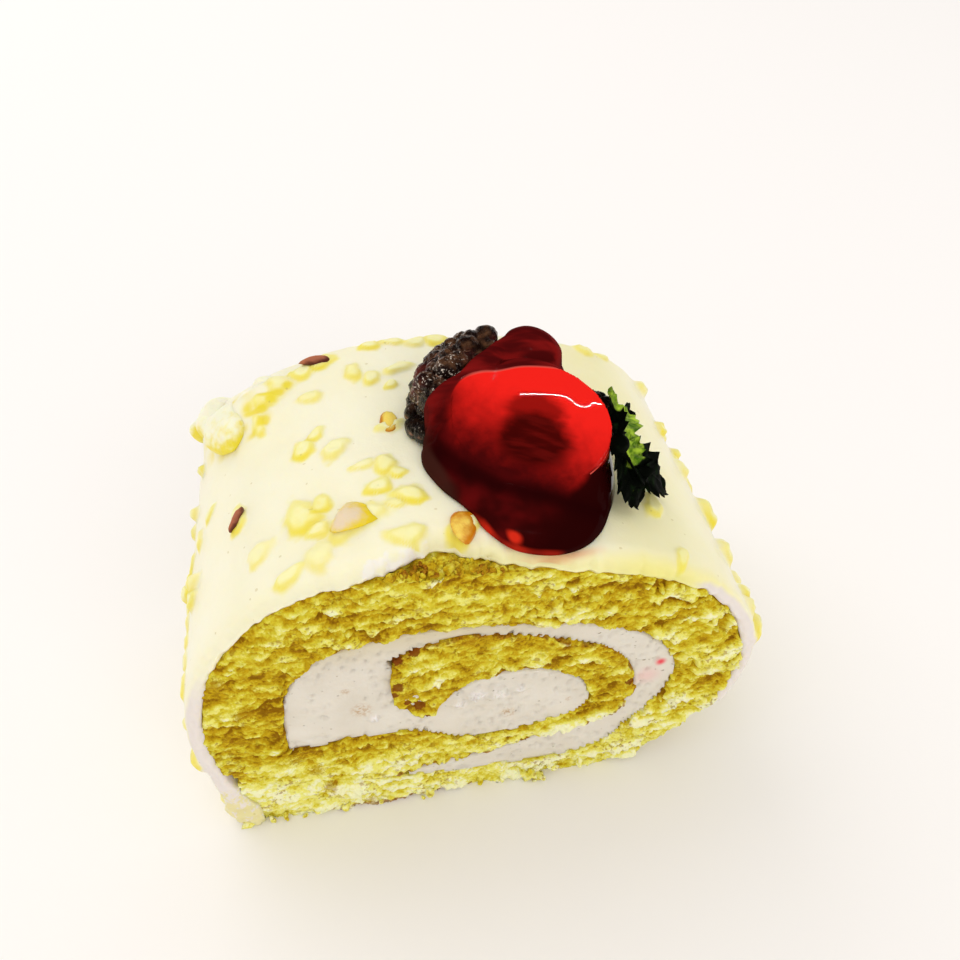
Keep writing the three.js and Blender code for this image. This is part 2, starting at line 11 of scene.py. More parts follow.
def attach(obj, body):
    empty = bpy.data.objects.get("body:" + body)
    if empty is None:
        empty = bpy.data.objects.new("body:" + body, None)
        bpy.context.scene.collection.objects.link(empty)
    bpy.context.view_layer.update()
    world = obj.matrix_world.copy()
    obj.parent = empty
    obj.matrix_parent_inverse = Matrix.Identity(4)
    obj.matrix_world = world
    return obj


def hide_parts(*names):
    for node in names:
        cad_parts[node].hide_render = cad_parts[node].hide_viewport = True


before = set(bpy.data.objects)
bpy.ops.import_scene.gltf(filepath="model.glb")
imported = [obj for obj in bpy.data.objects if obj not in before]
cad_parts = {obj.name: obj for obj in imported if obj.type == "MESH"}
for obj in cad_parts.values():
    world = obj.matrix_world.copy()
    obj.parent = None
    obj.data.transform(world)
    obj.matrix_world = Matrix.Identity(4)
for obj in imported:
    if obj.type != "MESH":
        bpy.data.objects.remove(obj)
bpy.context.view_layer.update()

# ---- the table, the light and the camera ----
# A plain pale table top under soft light. A broad lamp hangs behind on the left, a weaker one fills from
# the front, and a narrow strip high up draws a thin glint on whatever is wet.

MM = 0.001
CAMERA_AT = Vector((-11.47, -107.98, 150.64))
CAMERA_RIGHT = Vector((0.9848, -0.1723, -0.0224))
CAMERA_UP = Vector((0.1341, 0.6719, 0.7284))
LENS = 34.39
TABLE_SIZE = 6.0
TABLE_COLOUR = (0.93, 0.905, 0.885, 1.0)
SKY_COLOUR = (1.0, 0.985, 0.97, 1.0)
SKY_STRENGTH = 0.86

camera = bpy.data.objects.new("camera", bpy.data.cameras.new("camera"))
bpy.context.scene.collection.objects.link(camera)
back = CAMERA_RIGHT.cross(CAMERA_UP).normalized()
right = CAMERA_RIGHT.normalized()
camera.matrix_world = Matrix.Translation(CAMERA_AT * MM) @ Matrix(
    [right, back.cross(right), back]).transposed().to_4x4()
camera.data.lens = LENS
camera.data.sensor_width = 36.0
camera.data.clip_start = 0.005
bpy.context.scene.camera = camera


def lamp(name, at, aim, size, watts, colour=(1, 1, 1), seen_in_gloss=True, lights_matt=True):
    """A rectangular lamp at a place, facing another, both in metres.

    The first of its two sizes runs from left to right.
    """
    light = bpy.data.lights.new(name, "AREA")
    light.shape = "RECTANGLE"
    light.size, light.size_y = size
    light.energy = watts
    light.color = colour
    holder = bpy.data.objects.new(name, light)
    bpy.context.scene.collection.objects.link(holder)
    away = (Vector(at) - Vector(aim)).normalized()
    upward = away.cross(Vector((1, 0, 0))).normalized()
    holder.matrix_world = Matrix.Translation(at) @ Matrix(
        [upward.cross(away), upward, away]).transposed().to_4x4()
    holder.visible_glossy = seen_in_gloss
    holder.visible_diffuse = lights_matt


lamp("key", (-0.55, 0.75, 1.0), (0, 0, 0.03), (1.2, 1.2), 4.8, (1.0, 0.98, 0.95), seen_in_gloss=False)
lamp("fill", (0.35, -1.1, 0.75), (0, 0, 0.03), (1.0, 0.7), 3.4, (1.0, 0.98, 0.96), seen_in_gloss=False)
lamp("glint", (0.22, 0.03, 0.76), (0.011, -0.007, 0.066), (0.33, 0.0015), 0.22, lights_matt=False)

world = bpy.data.worlds.new("sky")
bpy.context.scene.world = world
world.use_nodes = True
sky = world.node_tree.nodes["Background"]
sky.inputs["Color"].default_value = SKY_COLOUR
sky.inputs["Strength"].default_value = SKY_STRENGTH
world.cycles_visibility.glossy = False
bpy.context.scene.view_settings.view_transform = "Standard"
bpy.context.scene.view_settings.look = "None"

table_mesh = bpy.data.meshes.new("table")
half_table = TABLE_SIZE / 2
table_mesh.from_pydata(
    [(x, y, 0.0) for x, y in ((-half_table, -half_table), (half_table, -half_table),
                              (half_table, half_table), (-half_table, half_table))], [], [(0, 1, 2, 3)])
table = bpy.data.objects.new("table", table_mesh)
bpy.context.scene.collection.objects.link(table)
table_finish = bpy.data.materials.new("table")
table_finish.use_nodes = True
table_shader = table_finish.node_tree.nodes["Principled BSDF"]
table_shader.inputs["Base Color"].default_value = TABLE_COLOUR
table_shader.inputs["Roughness"].default_value = 0.9
table_shader.inputs["Specular IOR Level"].default_value = 0.1
table_mesh.materials.append(table_finish)

# ---- the sponge ----
# One sheet of yellow sponge, baked flat, spread with cream and rolled up. The knife has torn its open crumb
# into ledges that run level, and where the sheet lay on the tin or against the heat it is golden brown.

SLICE_FRONT = -27.0
SLICE_BACK = 27.0
BACK_SKEW = 0.11
CRAG = 0.8  # how far the large ledges stand out of a cut
LEDGE_LENGTH, LEDGE_HEIGHT = 7.0, 2.6
CRUMB = 2.4
# The sheet's outer face, from its loose end under the slice to its torn inner end: x, z and thickness.
SHEET = np.array([
    [-40.4, 0, 14], [-30, 0, 11], [-20, 0, 8.6], [-8, 0, 5.8], [2, 0, 5.4], [12, 0, 4.8], [21.5, 0.2, 7],
    [29, 2.4, 9.6], [35.5, 8.6, 10.2], [40.8, 16, 11], [43, 25.6, 11], [41, 35.5, 11.4],
    [34.8, 44.2, 11.8], [24, 50.4, 11.6], [10, 54.8, 12], [-5, 57.2, 12.4], [-18, 57, 13],
    [-28, 54, 12.6], [-36, 46.6, 12], [-41, 36.6, 11.8], [-42.8, 25, 12], [-41.4, 16, 11.4],
    [-37, 10.6, 11.2], [-30, 8.4, 12], [-20, 7.4, 13], [-10, 8, 12.2], [0, 9.6, 6], [11, 12.6, 4],
    [19.4, 14.6, 5.2], [25, 20.6, 7.8], [24.8, 27.6, 8], [20.4, 34.2, 8], [12, 38.6, 7.8], [2, 42, 11],
    [-7, 42, 14], [-14, 39.2, 13]])
FOOT_SHARE = 78 / 122  # of the way along the sheet, where its outer turn ends and the inner one begins
TORN_X = -4.5  # the middle of the patch where icing has come off the front edge
STRIDE = 3.4  # over which the sheet's direction is taken, so that tight bends don't fold
JOIN_INSET = 1.2  # how far each turn shrinks where it meets the other, so that their cuts don't lie level


def drawn(ix, iy, iz):
    """Draws a number from -1 to 1 for each lattice point, by hashing its three whole coordinates."""
    h = (ix.astype(np.uint32) * np.uint32(374761393) + iy.astype(np.uint32) * np.uint32(668265263)
         + iz.astype(np.uint32) * np.uint32(1440662683))
    h = (h ^ (h >> np.uint32(13))) * np.uint32(1274126177)
    return (h ^ (h >> np.uint32(16))).astype(float) / 2147483648 - 1


def noise(x, y, z):
    """Smooth noise from -1 to 1: the numbers of the eight lattice points round a place, blended."""
    place = np.broadcast_arrays(*[np.asarray(v, float) for v in (x, y, z)])
    cell = [np.floor(v) for v in place]
    part = [(v - c) ** 2 * (3 - 2 * (v - c)) for v, c in zip(place, cell)]
    cell = [c.astype(np.int64) for c in cell]
    total = 0.0
    for dx in (0, 1):
        for dy in (0, 1):
            for dz in (0, 1):
                share = np.abs(1 - dx - part[0]) * np.abs(1 - dy - part[1]) * np.abs(1 - dz - part[2])
                total = total + share * drawn(cell[0] + dx, cell[1] + dy, cell[2] + dz)
    return total


def grains(x, y, size, seed):
    """Points strewn one to a square of the given size: how far off the nearest is, and its own number.

    The distance is in squares, and the number, from -1 to 1, is the same all over one point's cell.
    """
    u, v = x / size, y / size
    cu, cv = np.floor(u), np.floor(v)
    nearest, own = np.full(np.shape(u), 9.0), np.zeros(np.shape(u))
    for du in (-1, 0, 1):
        for dv in (-1, 0, 1):
            iu, iv = (cu + du).astype(np.int64), (cv + dv).astype(np.int64)
            pu = cu + du + 0.5 + 0.45 * drawn(iu, iv, np.full_like(iu, seed))
            pv = cv + dv + 0.5 + 0.45 * drawn(iu, iv, np.full_like(iu, seed + 1))
            away = np.hypot(u - pu, v - pv)
            own = np.where(away < nearest, drawn(iu, iv, np.full_like(iu, seed + 2)), own)
            nearest = np.minimum(nearest, away)
    return nearest, own


def smooth_line(knots, steps_per_knot=60):
    """A curve through the knots: each stretch is a cubic paced by the square root of its length."""
    ahead = np.vstack([2 * knots[0] - knots[1], knots, 2 * knots[-1] - knots[-2]])
    gap = np.linalg.norm(np.diff(ahead, axis=0), axis=1)[:, None] ** 0.5
    p0, p1, p2, p3 = ahead[:-3], ahead[1:-2], ahead[2:-1], ahead[3:]
    g0, g1, g2 = gap[:-2], gap[1:-1], gap[2:]
    leave = ((p1 - p0) / g0 - (p2 - p0) / (g0 + g1) + (p2 - p1) / g1) * g1
    arrive = ((p2 - p1) / g1 - (p3 - p1) / (g1 + g2) + (p3 - p2) / g2) * g1
    t = np.linspace(0, 1, steps_per_knot, endpoint=False)[:, None, None]
    stretch = (p1 + leave * t + (3 * (p2 - p1) - 2 * leave - arrive) * t ** 2
               + (2 * (p1 - p2) + leave + arrive) * t ** 3)
    return np.vstack([stretch.transpose(1, 0, 2).reshape(-1, knots.shape[1]), knots[-1:]])


sheet_line = smooth_line(SHEET)
sheet_run = np.r_[0, np.cumsum(np.linalg.norm(np.diff(sheet_line, axis=0), axis=1))]


def on_sheet(run):
    """The place on the sheet's outer face at a run along it, with its thickness and the way in."""
    def at(where):
        return np.stack([np.interp(where, sheet_run, sheet_line[:, k]) for k in range(3)], -1)
    here = at(run)
    onward = at(np.minimum(run + STRIDE, sheet_run[-1])) - at(np.maximum(run - STRIDE, 0))
    length = np.hypot(onward[:, 0], onward[:, 1])
    inward = np.stack([-onward[:, 1] / length, onward[:, 0] / length], -1)
    return here[:, 0], here[:, 1], here[:, 2], inward


def back_cut(x):
    """How far back the rear cut lies: the knife went through a little aslant."""
    return SLICE_BACK + BACK_SKEW * x


def crumb(x, z, side):
    """How far torn crumb stands out of a cut, in millimetres, with its lightness from 0 to 1.

    Large ledges and lumps are smooth noise. On them lie flakes in rows, level on the left, and rising and
    coarser to the right. A flake comes out quickly at its ragged lower edge, with painted light on it, and
    slopes back to the ochre painted shade in the hollow under the next one. Long and short flakes overlap,
    grains of three sizes roughen them, and a few of the grains lie in pits painted dark as shade. All
    through, the lightness is
    painted light and shade: lighter where the crumb stands out, darker where it sinks. Side is 0 on the
    front cut and 1 on the back one.
    """
    along = x + 0.15 * z
    ledges = noise(along / LEDGE_LENGTH, side * 9, (z - 0.12 * x) / LEDGE_HEIGHT)
    rough = noise(x / CRUMB, side * 5 + 2, z / CRUMB)
    form = CRAG * np.clip(0.9 * ledges + 0.6 * rough, -1, 1)
    lie = z - 0.05 * x - 0.0014 * x * x
    warp = noise(x / 0.8, side * 5 + 40, z / 0.8)
    jag = noise(x / 1.7, side * 5 + 43, z / 2.6)
    lump = noise(x / 1.8, side * 5 + 60, z / 1.2)
    relief, light = 0.62 * form + 0.26 * lump, 0.43 + 0.14 * ledges + 0.12 * rough + 0.14 * lump
    coarse = np.clip(0.9 + 0.014 * x, 0.5, 1.45)
    # Both sorts of flake: length, height, how far it stands out, how much painted light brightens its edge,
    # and its seed.
    flakes = ((5.2, 3.0, 0.85 * coarse, 0.55 * coarse, 20), (2.4, 1.7, 0.34, 0.26, 24))
    for long, high, out, gain, row_seed in flakes:
        bend = 0.8 * noise(along / long, side * 7 + row_seed, lie / (2 * high))
        place = lie / high + bend + 0.42 * jag + 0.22 * warp
        row = np.floor(place)
        up = place - row
        stands, hangs = (np.clip(0.15 + 2.2 * noise(
            along / long + 37.3 * r, side * 7 + row_seed + 2, r * 0.73), 0, 1) for r in (row, row + 1))
        lip = np.clip(up / 0.14, 0, 1) * (1 - up * up)
        hollow = hangs * np.clip((up - 0.45) / 0.55, 0, 1) ** 2
        relief = relief + out * (stands * (lip - 0.3) - 0.4 * hollow)
        light = light + gain * (stands * (1.25 * lip - 0.35) - 0.5 * hollow)
    for size, out, seed in ((1.25, 0.12, 70), (0.7, 0.11, 80), (0.42, 0.08, 90)):
        edge, grain = grains(x + 0.4 * size * warp, z * 1.25 + 0.3 * size * warp, size, seed + side * 3)
        relief = relief + out * (grain - 1.1 * edge + 0.3)
        light = light + 0.8 * out * (grain - 1.2 * edge + 0.4)
    pit_edge, pit = grains(x + 0.3 * warp, z * 1.3, 1.1, 100 + side * 3)
    pit = np.clip(pit - 0.7, 0, 0.3) / 0.3 * np.clip(1 - pit_edge / 0.5, 0, 1)
    return relief - 0.5 * pit, np.clip(light - 0.5 * pit, 0, 1)


def new_piece(name, points, quads=np.empty((0, 4), int), triangles=np.empty((0, 3), int)):
    """A closed mesh at the origin from points in millimetres. Its faces are turned to point outwards."""
    halves = np.vstack([quads[:, [0, 1, 2]], quads[:, [0, 2, 3]], triangles])
    a, b, c = points[halves[:, 0]], points[halves[:, 1]], points[halves[:, 2]]
    if np.einsum("ij,ij->", a, np.cross(b, c)) < 0:
        quads, triangles = quads[:, ::-1], triangles[:, ::-1]
    sizes = np.r_[np.full(len(quads), 4), np.full(len(triangles), 3)]
    mesh = bpy.data.meshes.new(name)
    mesh.vertices.add(len(points))
    mesh.vertices.foreach_set("co", (points * MM).astype(np.float32).ravel())
    mesh.loops.add(int(sizes.sum()))
    mesh.loops.foreach_set("vertex_index", np.r_[quads.ravel(), triangles.ravel()].astype(np.int32))
    mesh.polygons.add(len(sizes))
    mesh.polygons.foreach_set("loop_start", np.r_[0, np.cumsum(sizes)[:-1]].astype(np.int32))
    mesh.update(calc_edges=True)
    mesh.shade_smooth()
    piece = bpy.data.objects.new(name, mesh)
    bpy.context.scene.collection.objects.link(piece)
    return piece


def mark_points(mesh, name, values):
    """Gives each point of a mesh a number, which the piece's finish reads by the mark's name."""
    layer = mesh.attributes.get(name) or mesh.attributes.new(name, "FLOAT", "POINT")
    layer.data.foreach_set("value", np.asarray(values).astype(np.float32).ravel())


def carried(name, rings, **marks):
    """A closed outline carried along a path: rings[i, j] is point j of the outline at step i.

    A fan of triangles round its middle closes each end. Each mark has a number for every point of the rings.
    """
    steps, around, _ = rings.shape
    number = np.arange(steps * around).reshape(steps, around)
    here, onward = number[:-1], number[1:]
    quads = np.stack([here, onward, np.roll(onward, -1, 1), np.roll(here, -1, 1)], -1).reshape(-1, 4)
    middles = np.stack([rings[0].mean(0), rings[-1].mean(0)])
    first, last = steps * around, steps * around + 1
    start = np.stack([np.full(around, first), number[0], np.roll(number[0], -1)], -1)
    end = np.stack([np.full(around, last), np.roll(number[-1], -1), number[-1]], -1)
    piece = new_piece(name, np.vstack([rings.reshape(-1, 3), middles]), quads, np.vstack([start, end]))
    for mark, values in marks.items():
        flat = np.asarray(values, float).reshape(steps, around)
        mark_points(piece.data, mark, np.r_[flat.ravel(), flat[0].mean(), flat[-1].mean()])
    return piece


ball = bmesh.new()
bmesh.ops.create_icosphere(ball, subdivisions=3, radius=1.0)
BALL_POINTS = np.array([v.co for v in ball.verts])
BALL_FACES = np.array([[v.index for v in f.verts] for f in ball.faces])
ball.free()
CHIP_FACES = 13


def chip(seed, sharp):
    """A chipped lump of about unit size: a ball cut back by planes, with rounder edges if sharp is low."""
    draw = np.random.default_rng(seed)
    planes = draw.normal(size=(CHIP_FACES, 3))
    planes /= np.linalg.norm(planes, axis=1)[:, None]
    reach = draw.uniform(0.66, 1.0, CHIP_FACES)
    facing = np.maximum(BALL_POINTS @ planes.T / reach, 0)
    return BALL_POINTS / ((facing ** sharp).sum(1) + 0.55 ** sharp)[:, None] ** (1 / sharp)


def new_lumps(name, lumps, **marks):
    """Lumps that are each a ball's points moved, all in one mesh. A mark has an array for every lump."""
    faces = BALL_FACES[None] + np.arange(len(lumps))[:, None, None] * len(BALL_POINTS)
    piece = new_piece(name, np.vstack(lumps), triangles=faces.reshape(-1, 3))
    for mark, values in marks.items():
        mark_points(piece.data, mark, np.concatenate(values))
    return piece


def sponge_turn(name, first, last, columns, front_rows, back_rows, skin_rows):
    """Part of the sheet between two shares of its length: its two cuts in torn crumb, its faces plain.

    The outline goes in across the front cut, back along the inner face, out across the back cut and forward
    along the outer face. Its corners are rounded, and its ends are drawn in where the turns join.
    """
    run = np.linspace(first, last, columns) * sheet_run[-1]
    x, z, thickness, inward = on_sheet(run)
    drawn_in = np.zeros(columns)
    if first > 0:
        drawn_in[:3] = JOIN_INSET
    if last < 1:
        drawn_in[-3:] = JOIN_INSET
    deep = np.r_[np.linspace(0, 1, front_rows), np.ones(skin_rows), np.linspace(1, 0, back_rows),
                 np.zeros(skin_rows)]
    middle = ((np.arange(skin_rows) + 0.5) / skin_rows) ** 2
    toward_back = np.r_[np.zeros(front_rows), middle, np.ones(back_rows), middle[::-1]]
    depth = drawn_in[:, None] + (thickness - 2 * drawn_in)[:, None] * deep[None, :]
    edge = np.minimum(depth, thickness[:, None] - depth)
    # Near both faces of the sheet its outline is tattered, and wanders in and out.
    uneven = run[:, None] + 0.9 * noise(run[:, None] / 3.1, 4.5, 0.5)
    tatter = 0.6 * noise(uneven / 2.6, 5.5, toward_back * 30) + 0.34 * (
        1 + 1.4 * noise(run[:, None] / 4.3, 9.5, 0.5)) * noise(uneven / 1.25, 6.5, toward_back * 30)
    tatter = tatter * np.clip(1 - edge / 0.9, 0, 1)
    pulled, bulge = np.zeros_like(depth), np.zeros_like(depth)
    # The torn inner end swells to one side, and its last millimetres are frayed.
    if last == 1:
        tail = np.clip(1 - (run[-1] - run) / 2.5, 0, 1)[:, None]
        bulge = np.clip(1 - (run[-1] - run) / 7, 0, 1)[:, None] ** 1.5
        share = depth / thickness[:, None]
        swollen = 6.4 * np.clip((share - 0.1) / 0.5, 0, 1) - 3.4 * np.clip((share - 0.78) / 0.22, 0, 1) - 1.9
        pulled = bulge * swollen + tail * (
            1.5 * noise(depth / 2.6, 7.5, toward_back * 4) + 1.1 * noise(depth / 0.9, 8.5, 0.5))
        depth = depth * (1 + 0.2 * bulge * share ** 2)
    px = x[:, None] + inward[:, :1] * (depth + tatter) + inward[:, 1:] * pulled
    pz = z[:, None] + inward[:, 1:] * (depth + tatter) - inward[:, :1] * pulled
    # Both cuts carry the torn crumb, and their corners are a little rounded.
    rounding = 0.3 * np.clip(1 - edge / 0.7, 0, 1) ** 2
    front_relief, front_fine = crumb(px, pz, 0)
    back_relief, back_fine = crumb(px, pz, 1)
    front = SLICE_FRONT - front_relief + rounding + drawn_in[:, None] - 0.35 * bulge
    behind = back_cut(px) + back_relief - rounding - drawn_in[:, None]
    py = front + (behind - front) * toward_back[None, :]
    on_cut = (toward_back == 0) | (toward_back == 1)
    # Where the icing has come off, the browned top lies bare and a little sunk, in knobs.
    bare = np.clip(1 - np.abs(px - TORN_X) / 12, 0, 1) * np.clip((-20 - py) / 3, 0, 1) * (pz > 50)
    knob_edge, knob = grains(px, py, 1.1, 110)
    sunk = 1.7 * bare * (depth < 0.5) * np.clip(0.2 + 0.2 * knob + 0.25 * knob_edge, 0, 0.5)
    px, pz = px + inward[:, :1] * sunk, pz + inward[:, 1:] * sunk
    fine = np.where(toward_back[None, :] < 0.5, front_fine, back_fine)
    # On the sheet's faces the lightness is a random tone, painted darker between the knobs as shade.
    skin = 0.5 + 0.2 * noise(px / 1.1, py / 1.1, pz / 1.1) + 0.15 * knob - 0.2 * knob_edge
    height = np.where(on_cut[None, :], fine, skin)
    # A line of crust runs along the sheet's outer face. On the outer turn it is broken.
    baked = 0.35 + 0.75 * np.abs(noise(run[:, None] / 1.9, 11.5, 0.5)) * 2
    showing = 1.0 if first > 0 else np.clip(0.1 + 1.5 * noise(run[:, None] / 5, 12.5, 0.5), 0, 1)
    crust = np.clip(1.15 - depth / baked, 0, 1) * showing * (1 - 0.8 * bare)
    crust = crust + 0.8 * (pz < 0.9) * (np.abs(px + 14) < 12)
    # The crumb is paler at the right, low down and at the left foot, and duller by the cream on the left.
    pale = 0.02 * np.clip((px - 5) / 20, 0, 1) + 0.32 * np.clip((20 - pz) / 9, 0, 1)
    pale = pale + 0.08 * np.clip((5 - pz) / 4, 0, 1)
    pale = pale + 0.2 * np.exp(-((px + 38) ** 2 + (pz - 8) ** 2) / 24)
    pale = pale - 0.16 * np.clip((depth - thickness[:, None] + 4) / 3, 0, 1) * (px < -14) * (pz > 12)
    on_plate = np.where(pz < 0.25, 0, pz)
    return carried(name, np.stack([px, py, on_plate], -1), crumb_height=height, crust=crust, pale=pale)


outer_turn = sponge_turn("sponge_outer_turn", 0.0, FOOT_SHARE, 1040, 46, 22, 13)
inner_turn = sponge_turn("sponge_inner_turn", FOOT_SHARE - 0.024, 1.0, 720, 46, 24, 10)

# Crumbs that have dropped from the foot of the cut or hang from it: x, y, z and size.
LOOSE_CRUMBS = [
    (8.2, -27.6, 1.8, 3.6), (9.9, -27.9, 0.8, 2.2), (6.8, -27.3, 2.4, 2.0), (8.9, -28.2, 0.5, 1.2),
    (-0.7, -27.4, 1.0, 1.5), (-9.6, -27.4, 1.2, 2.0), (-10.9, -28.0, 0.4, 0.9), (-16.7, -27.3, 1.1, 1.6),
    (-18.1, -27.5, 0.8, 1.0), (-24.4, -27.6, 0.9, 2.0), (-28.9, -27.3, 1.3, 1.7), (-31.4, -27.6, 0.6, 1.1),
    (12.5, -27.0, 1.4, 1.8), (17.2, -26.8, 2.0, 2.0), (-39.8, -27.0, 1.0, 3.0), (-37.0, -27.4, 0.8, 1.7),
    (21.5, -26.6, 2.6, 1.8), (3.2, -27.3, 0.9, 1.4), (-34.6, -27.4, 1.0, 1.5)]
crumbs, lightness = [], []
for n, (*at, size) in enumerate(LOOSE_CRUMBS):
    body = chip(900 + n, 3) * size * np.random.default_rng(900 + n).uniform(0.4, 0.65, 3)
    rough = noise(*(body.T / 0.8 + 11 * n)) + 0.6 * noise(*(body.T / 0.4 + 17 * n))
    body = np.array(at) + body * (1 + 0.5 * rough[:, None])
    body[:, 2] = np.maximum(body[:, 2], 0)
    crumbs.append(body)
    # A crumb is painted lighter where it bulges out and darker where it sinks: painted light and shade.
    lightness.append(0.86 + 0.3 * rough)
loose_crumbs = new_lumps("sponge_crumbs", crumbs, crumb_height=lightness)

# Crumbs of the browned top, left standing where the icing has come off the front edge. Every fifth is large.
TOP_CRUMBS = 90
roll_x, roll_z, _, _ = on_sheet(np.linspace(0.24, FOOT_SHARE - 0.06, 400) * sheet_run[-1])
rightward = np.flatnonzero(roll_z > 44)[::-1]
crumbs, browned = [], []
draw = np.random.default_rng(41)
for n in range(TOP_CRUMBS):
    x = TORN_X + 8.4 * draw.uniform(-1, 1)
    reach = 3.6 * (1 - abs(x - TORN_X) / 10)
    y = SLICE_FRONT + 0.2 + reach * draw.uniform(0, 1) ** 1.5
    size = draw.uniform(0.3, 0.65) * (1.5 if n % 5 == 0 else 1.0)
    body = chip(700 + n, 3) * size * draw.uniform(0.7, 1.1, 3)
    body = body * (1 + 0.7 * noise(*(body.T / 0.45 + 5 * n)))[:, None]
    z = np.interp(x, roll_x[rightward], roll_z[rightward]) - 0.1
    crumbs.append(np.array([x, y, z]) + body)
    browned.append(np.full(len(body), draw.uniform(0.3, 1.1)))
top_crumbs = new_lumps("sponge_top_crumbs", crumbs, crust=browned,
                       crumb_height=[0.62 - 0.35 * brown for brown in browned])


class Number:
    """A socket whose value varies. Each sum, difference or product of numbers adds its Math node."""

    def __init__(self, finish, socket):
        self.finish = finish
        self.socket = socket

    def math(self, operation, *others, first=True):
        """A Math node on this number and others, with this one before or after them."""
        mine = [self.socket, *others] if first else [*others, self.socket]
        return self.finish.add("ShaderNodeMath", {"operation": operation}, dict(enumerate(mine)))

    def __add__(self, other):
        return self.math("ADD", other)

    def __radd__(self, other):
        return self.math("ADD", other)

    def __sub__(self, other):
        return self.math("SUBTRACT", other)

    def __rsub__(self, other):
        return self.math("SUBTRACT", other, first=False)

    def __mul__(self, other):
        return self.math("MULTIPLY", other)

    def __rmul__(self, other):
        return self.math("MULTIPLY", other)

    def limited(self):
        """Held between 0 and 1."""
        return self.finish.add("ShaderNodeClamp", {}, {"Value": self.socket})

    def rise(self, low, high):
        """0 below low, 1 above high and smooth between them."""
        return self.finish.add("ShaderNodeMapRange", {"interpolation_type": "SMOOTHSTEP"},
                               {"Value": self.socket, "From Min": low, "From Max": high})


class Finish:
    """A material under way. add() puts in any node, from its type, its settings and its sockets' values."""

    def __init__(self, name):
        self.material = bpy.data.materials.new(name)
        self.material.use_nodes = True
        self.tree = self.material.node_tree
        self.shader = self.tree.nodes["Principled BSDF"]
        self.place = self.add("ShaderNodeTexCoord", {}, {}, "Object").socket

    def feed(self, socket, value):
        """Links a varying value to a socket, and sets any other on it."""
        if isinstance(value, Number):
            value = value.socket
        if isinstance(value, bpy.types.NodeSocket):
            self.tree.links.new(value, socket)
        else:
            socket.default_value = value

    def add(self, kind, settings, sockets, output=0):
        """A node's output. Its settings are made first, and then its sockets are fed."""
        node = self.tree.nodes.new(kind)
        for setting, value in settings.items():
            setattr(node, setting, value)
        for socket, value in sockets.items():
            self.feed(node.inputs[socket], value)
        return Number(self, node.outputs[output])

    def mark(self, name):
        """The number that each point of the piece was given under this name."""
        return self.add("ShaderNodeAttribute", {"attribute_name": name}, {}, "Fac")

    def axis(self, name):
        """How far along X, Y or Z a place lies, in metres."""
        return self.add("ShaderNodeSeparateXYZ", {}, {0: self.place}, name)

    def speckle(self, size, detail=2.0, stretch=(1, 1, 1), shift=0.0, roughness=0.5):
        """Noise from 0 to 1 whose spots are about the given number of millimetres across."""
        place = self.add("ShaderNodeMapping", {}, {
            "Vector": self.place, "Location": (shift, shift, shift), "Scale": stretch})
        return self.add("ShaderNodeTexNoise", {}, {
            "Vector": place, "Scale": 1 / (size * MM), "Detail": detail, "Roughness": roughness}, "Fac")

    def linear(self, colour):
        """A colour as a screen shows it, three numbers from 0 to 255, made linear. A varying one passes."""
        if isinstance(colour, Number):
            return colour
        return tuple(((v / 255 + 0.055) / 1.055) ** 2.4 if v > 10 else v / 255 / 12.92
                     for v in colour) + (1.0,)

    def blend(self, below, above, share):
        """The first colour where the share is 0, the second where it is 1, and a mix between."""
        return self.add("ShaderNodeMix", {"data_type": "RGBA", "clamp_factor": True}, {
            "Factor": share, 6: self.linear(below), 7: self.linear(above)}, 2)

    def bump(self, height, depth):
        """A relief of the given depth in millimetres."""
        return self.add("ShaderNodeBump", {}, {"Height": height, "Strength": 1.0, "Distance": depth * MM})

    def close(self, **values):
        """Feeds the shader: the words of each socket's name are joined by underscores."""
        names = {socket.name.lower().replace(" ", "_"): socket for socket in self.shader.inputs}
        for name, value in values.items():
            self.feed(names[name], value)
        return self.material


def near(finish, spots, blur):
    """1 in the middle of each spot on the cuts (x, z and radius in millimetres) and 0 past its edge."""
    flat = finish.add("ShaderNodeVectorMath", {"operation": "MULTIPLY"}, {0: finish.place, 1: (1, 0, 1)})
    share = None
    for px, pz, radius in spots:
        away = finish.add("ShaderNodeVectorMath", {"operation": "DISTANCE"}, {
            0: flat, 1: (px * MM, 0, pz * MM)}, "Value")
        spot = 1 - away.rise(radius * MM * (1 - blur), radius * MM)
        share = spot if share is None else share.math("MAXIMUM", spot)
    return share


# Where crust or a burnt crumb shows on the front cut, and where a pale flake does: x, z and radius.
BROWN_SPOTS = [
    (-12.4, 39.4, 1.7), (-9.4, 41.0, 1.4), (-14.0, 31.4, 2.0), (-12.6, 33.4, 1.6), (-9.8, 27.4, 1.7),
    (-8.7, 24.6, 1.2), (-11.4, 28.2, 1.0), (-6.4, 61.6, 2.0), (3.0, 57.8, 1.6), (24.6, 24.0, 1.4)]
RUSTY_SPOTS = [
    (-36.0, 32.4, 3.0), (-37.7, 41.4, 2.6), (-33.0, 38.1, 2.2), (-26.2, 8.2, 2.4), (-30.0, 17.6, 3.4),
    (-27.5, 14.0, 3.0), (-1.3, 41.6, 2.0), (6.2, 41.0, 1.8), (-20.0, 1.0, 2.2), (22.4, 30.4, 1.8)]
PALE_FLAKES = [
    (-20.2, 52.4, 1.5), (-33.0, 21.6, 1.2), (-10.1, 37.0, 1.9), (32.7, 38.5, 1.5), (21.5, 20.0, 1.2),
    (12.0, 48.1, 1.6), (-35.5, 43.2, 1.3)]

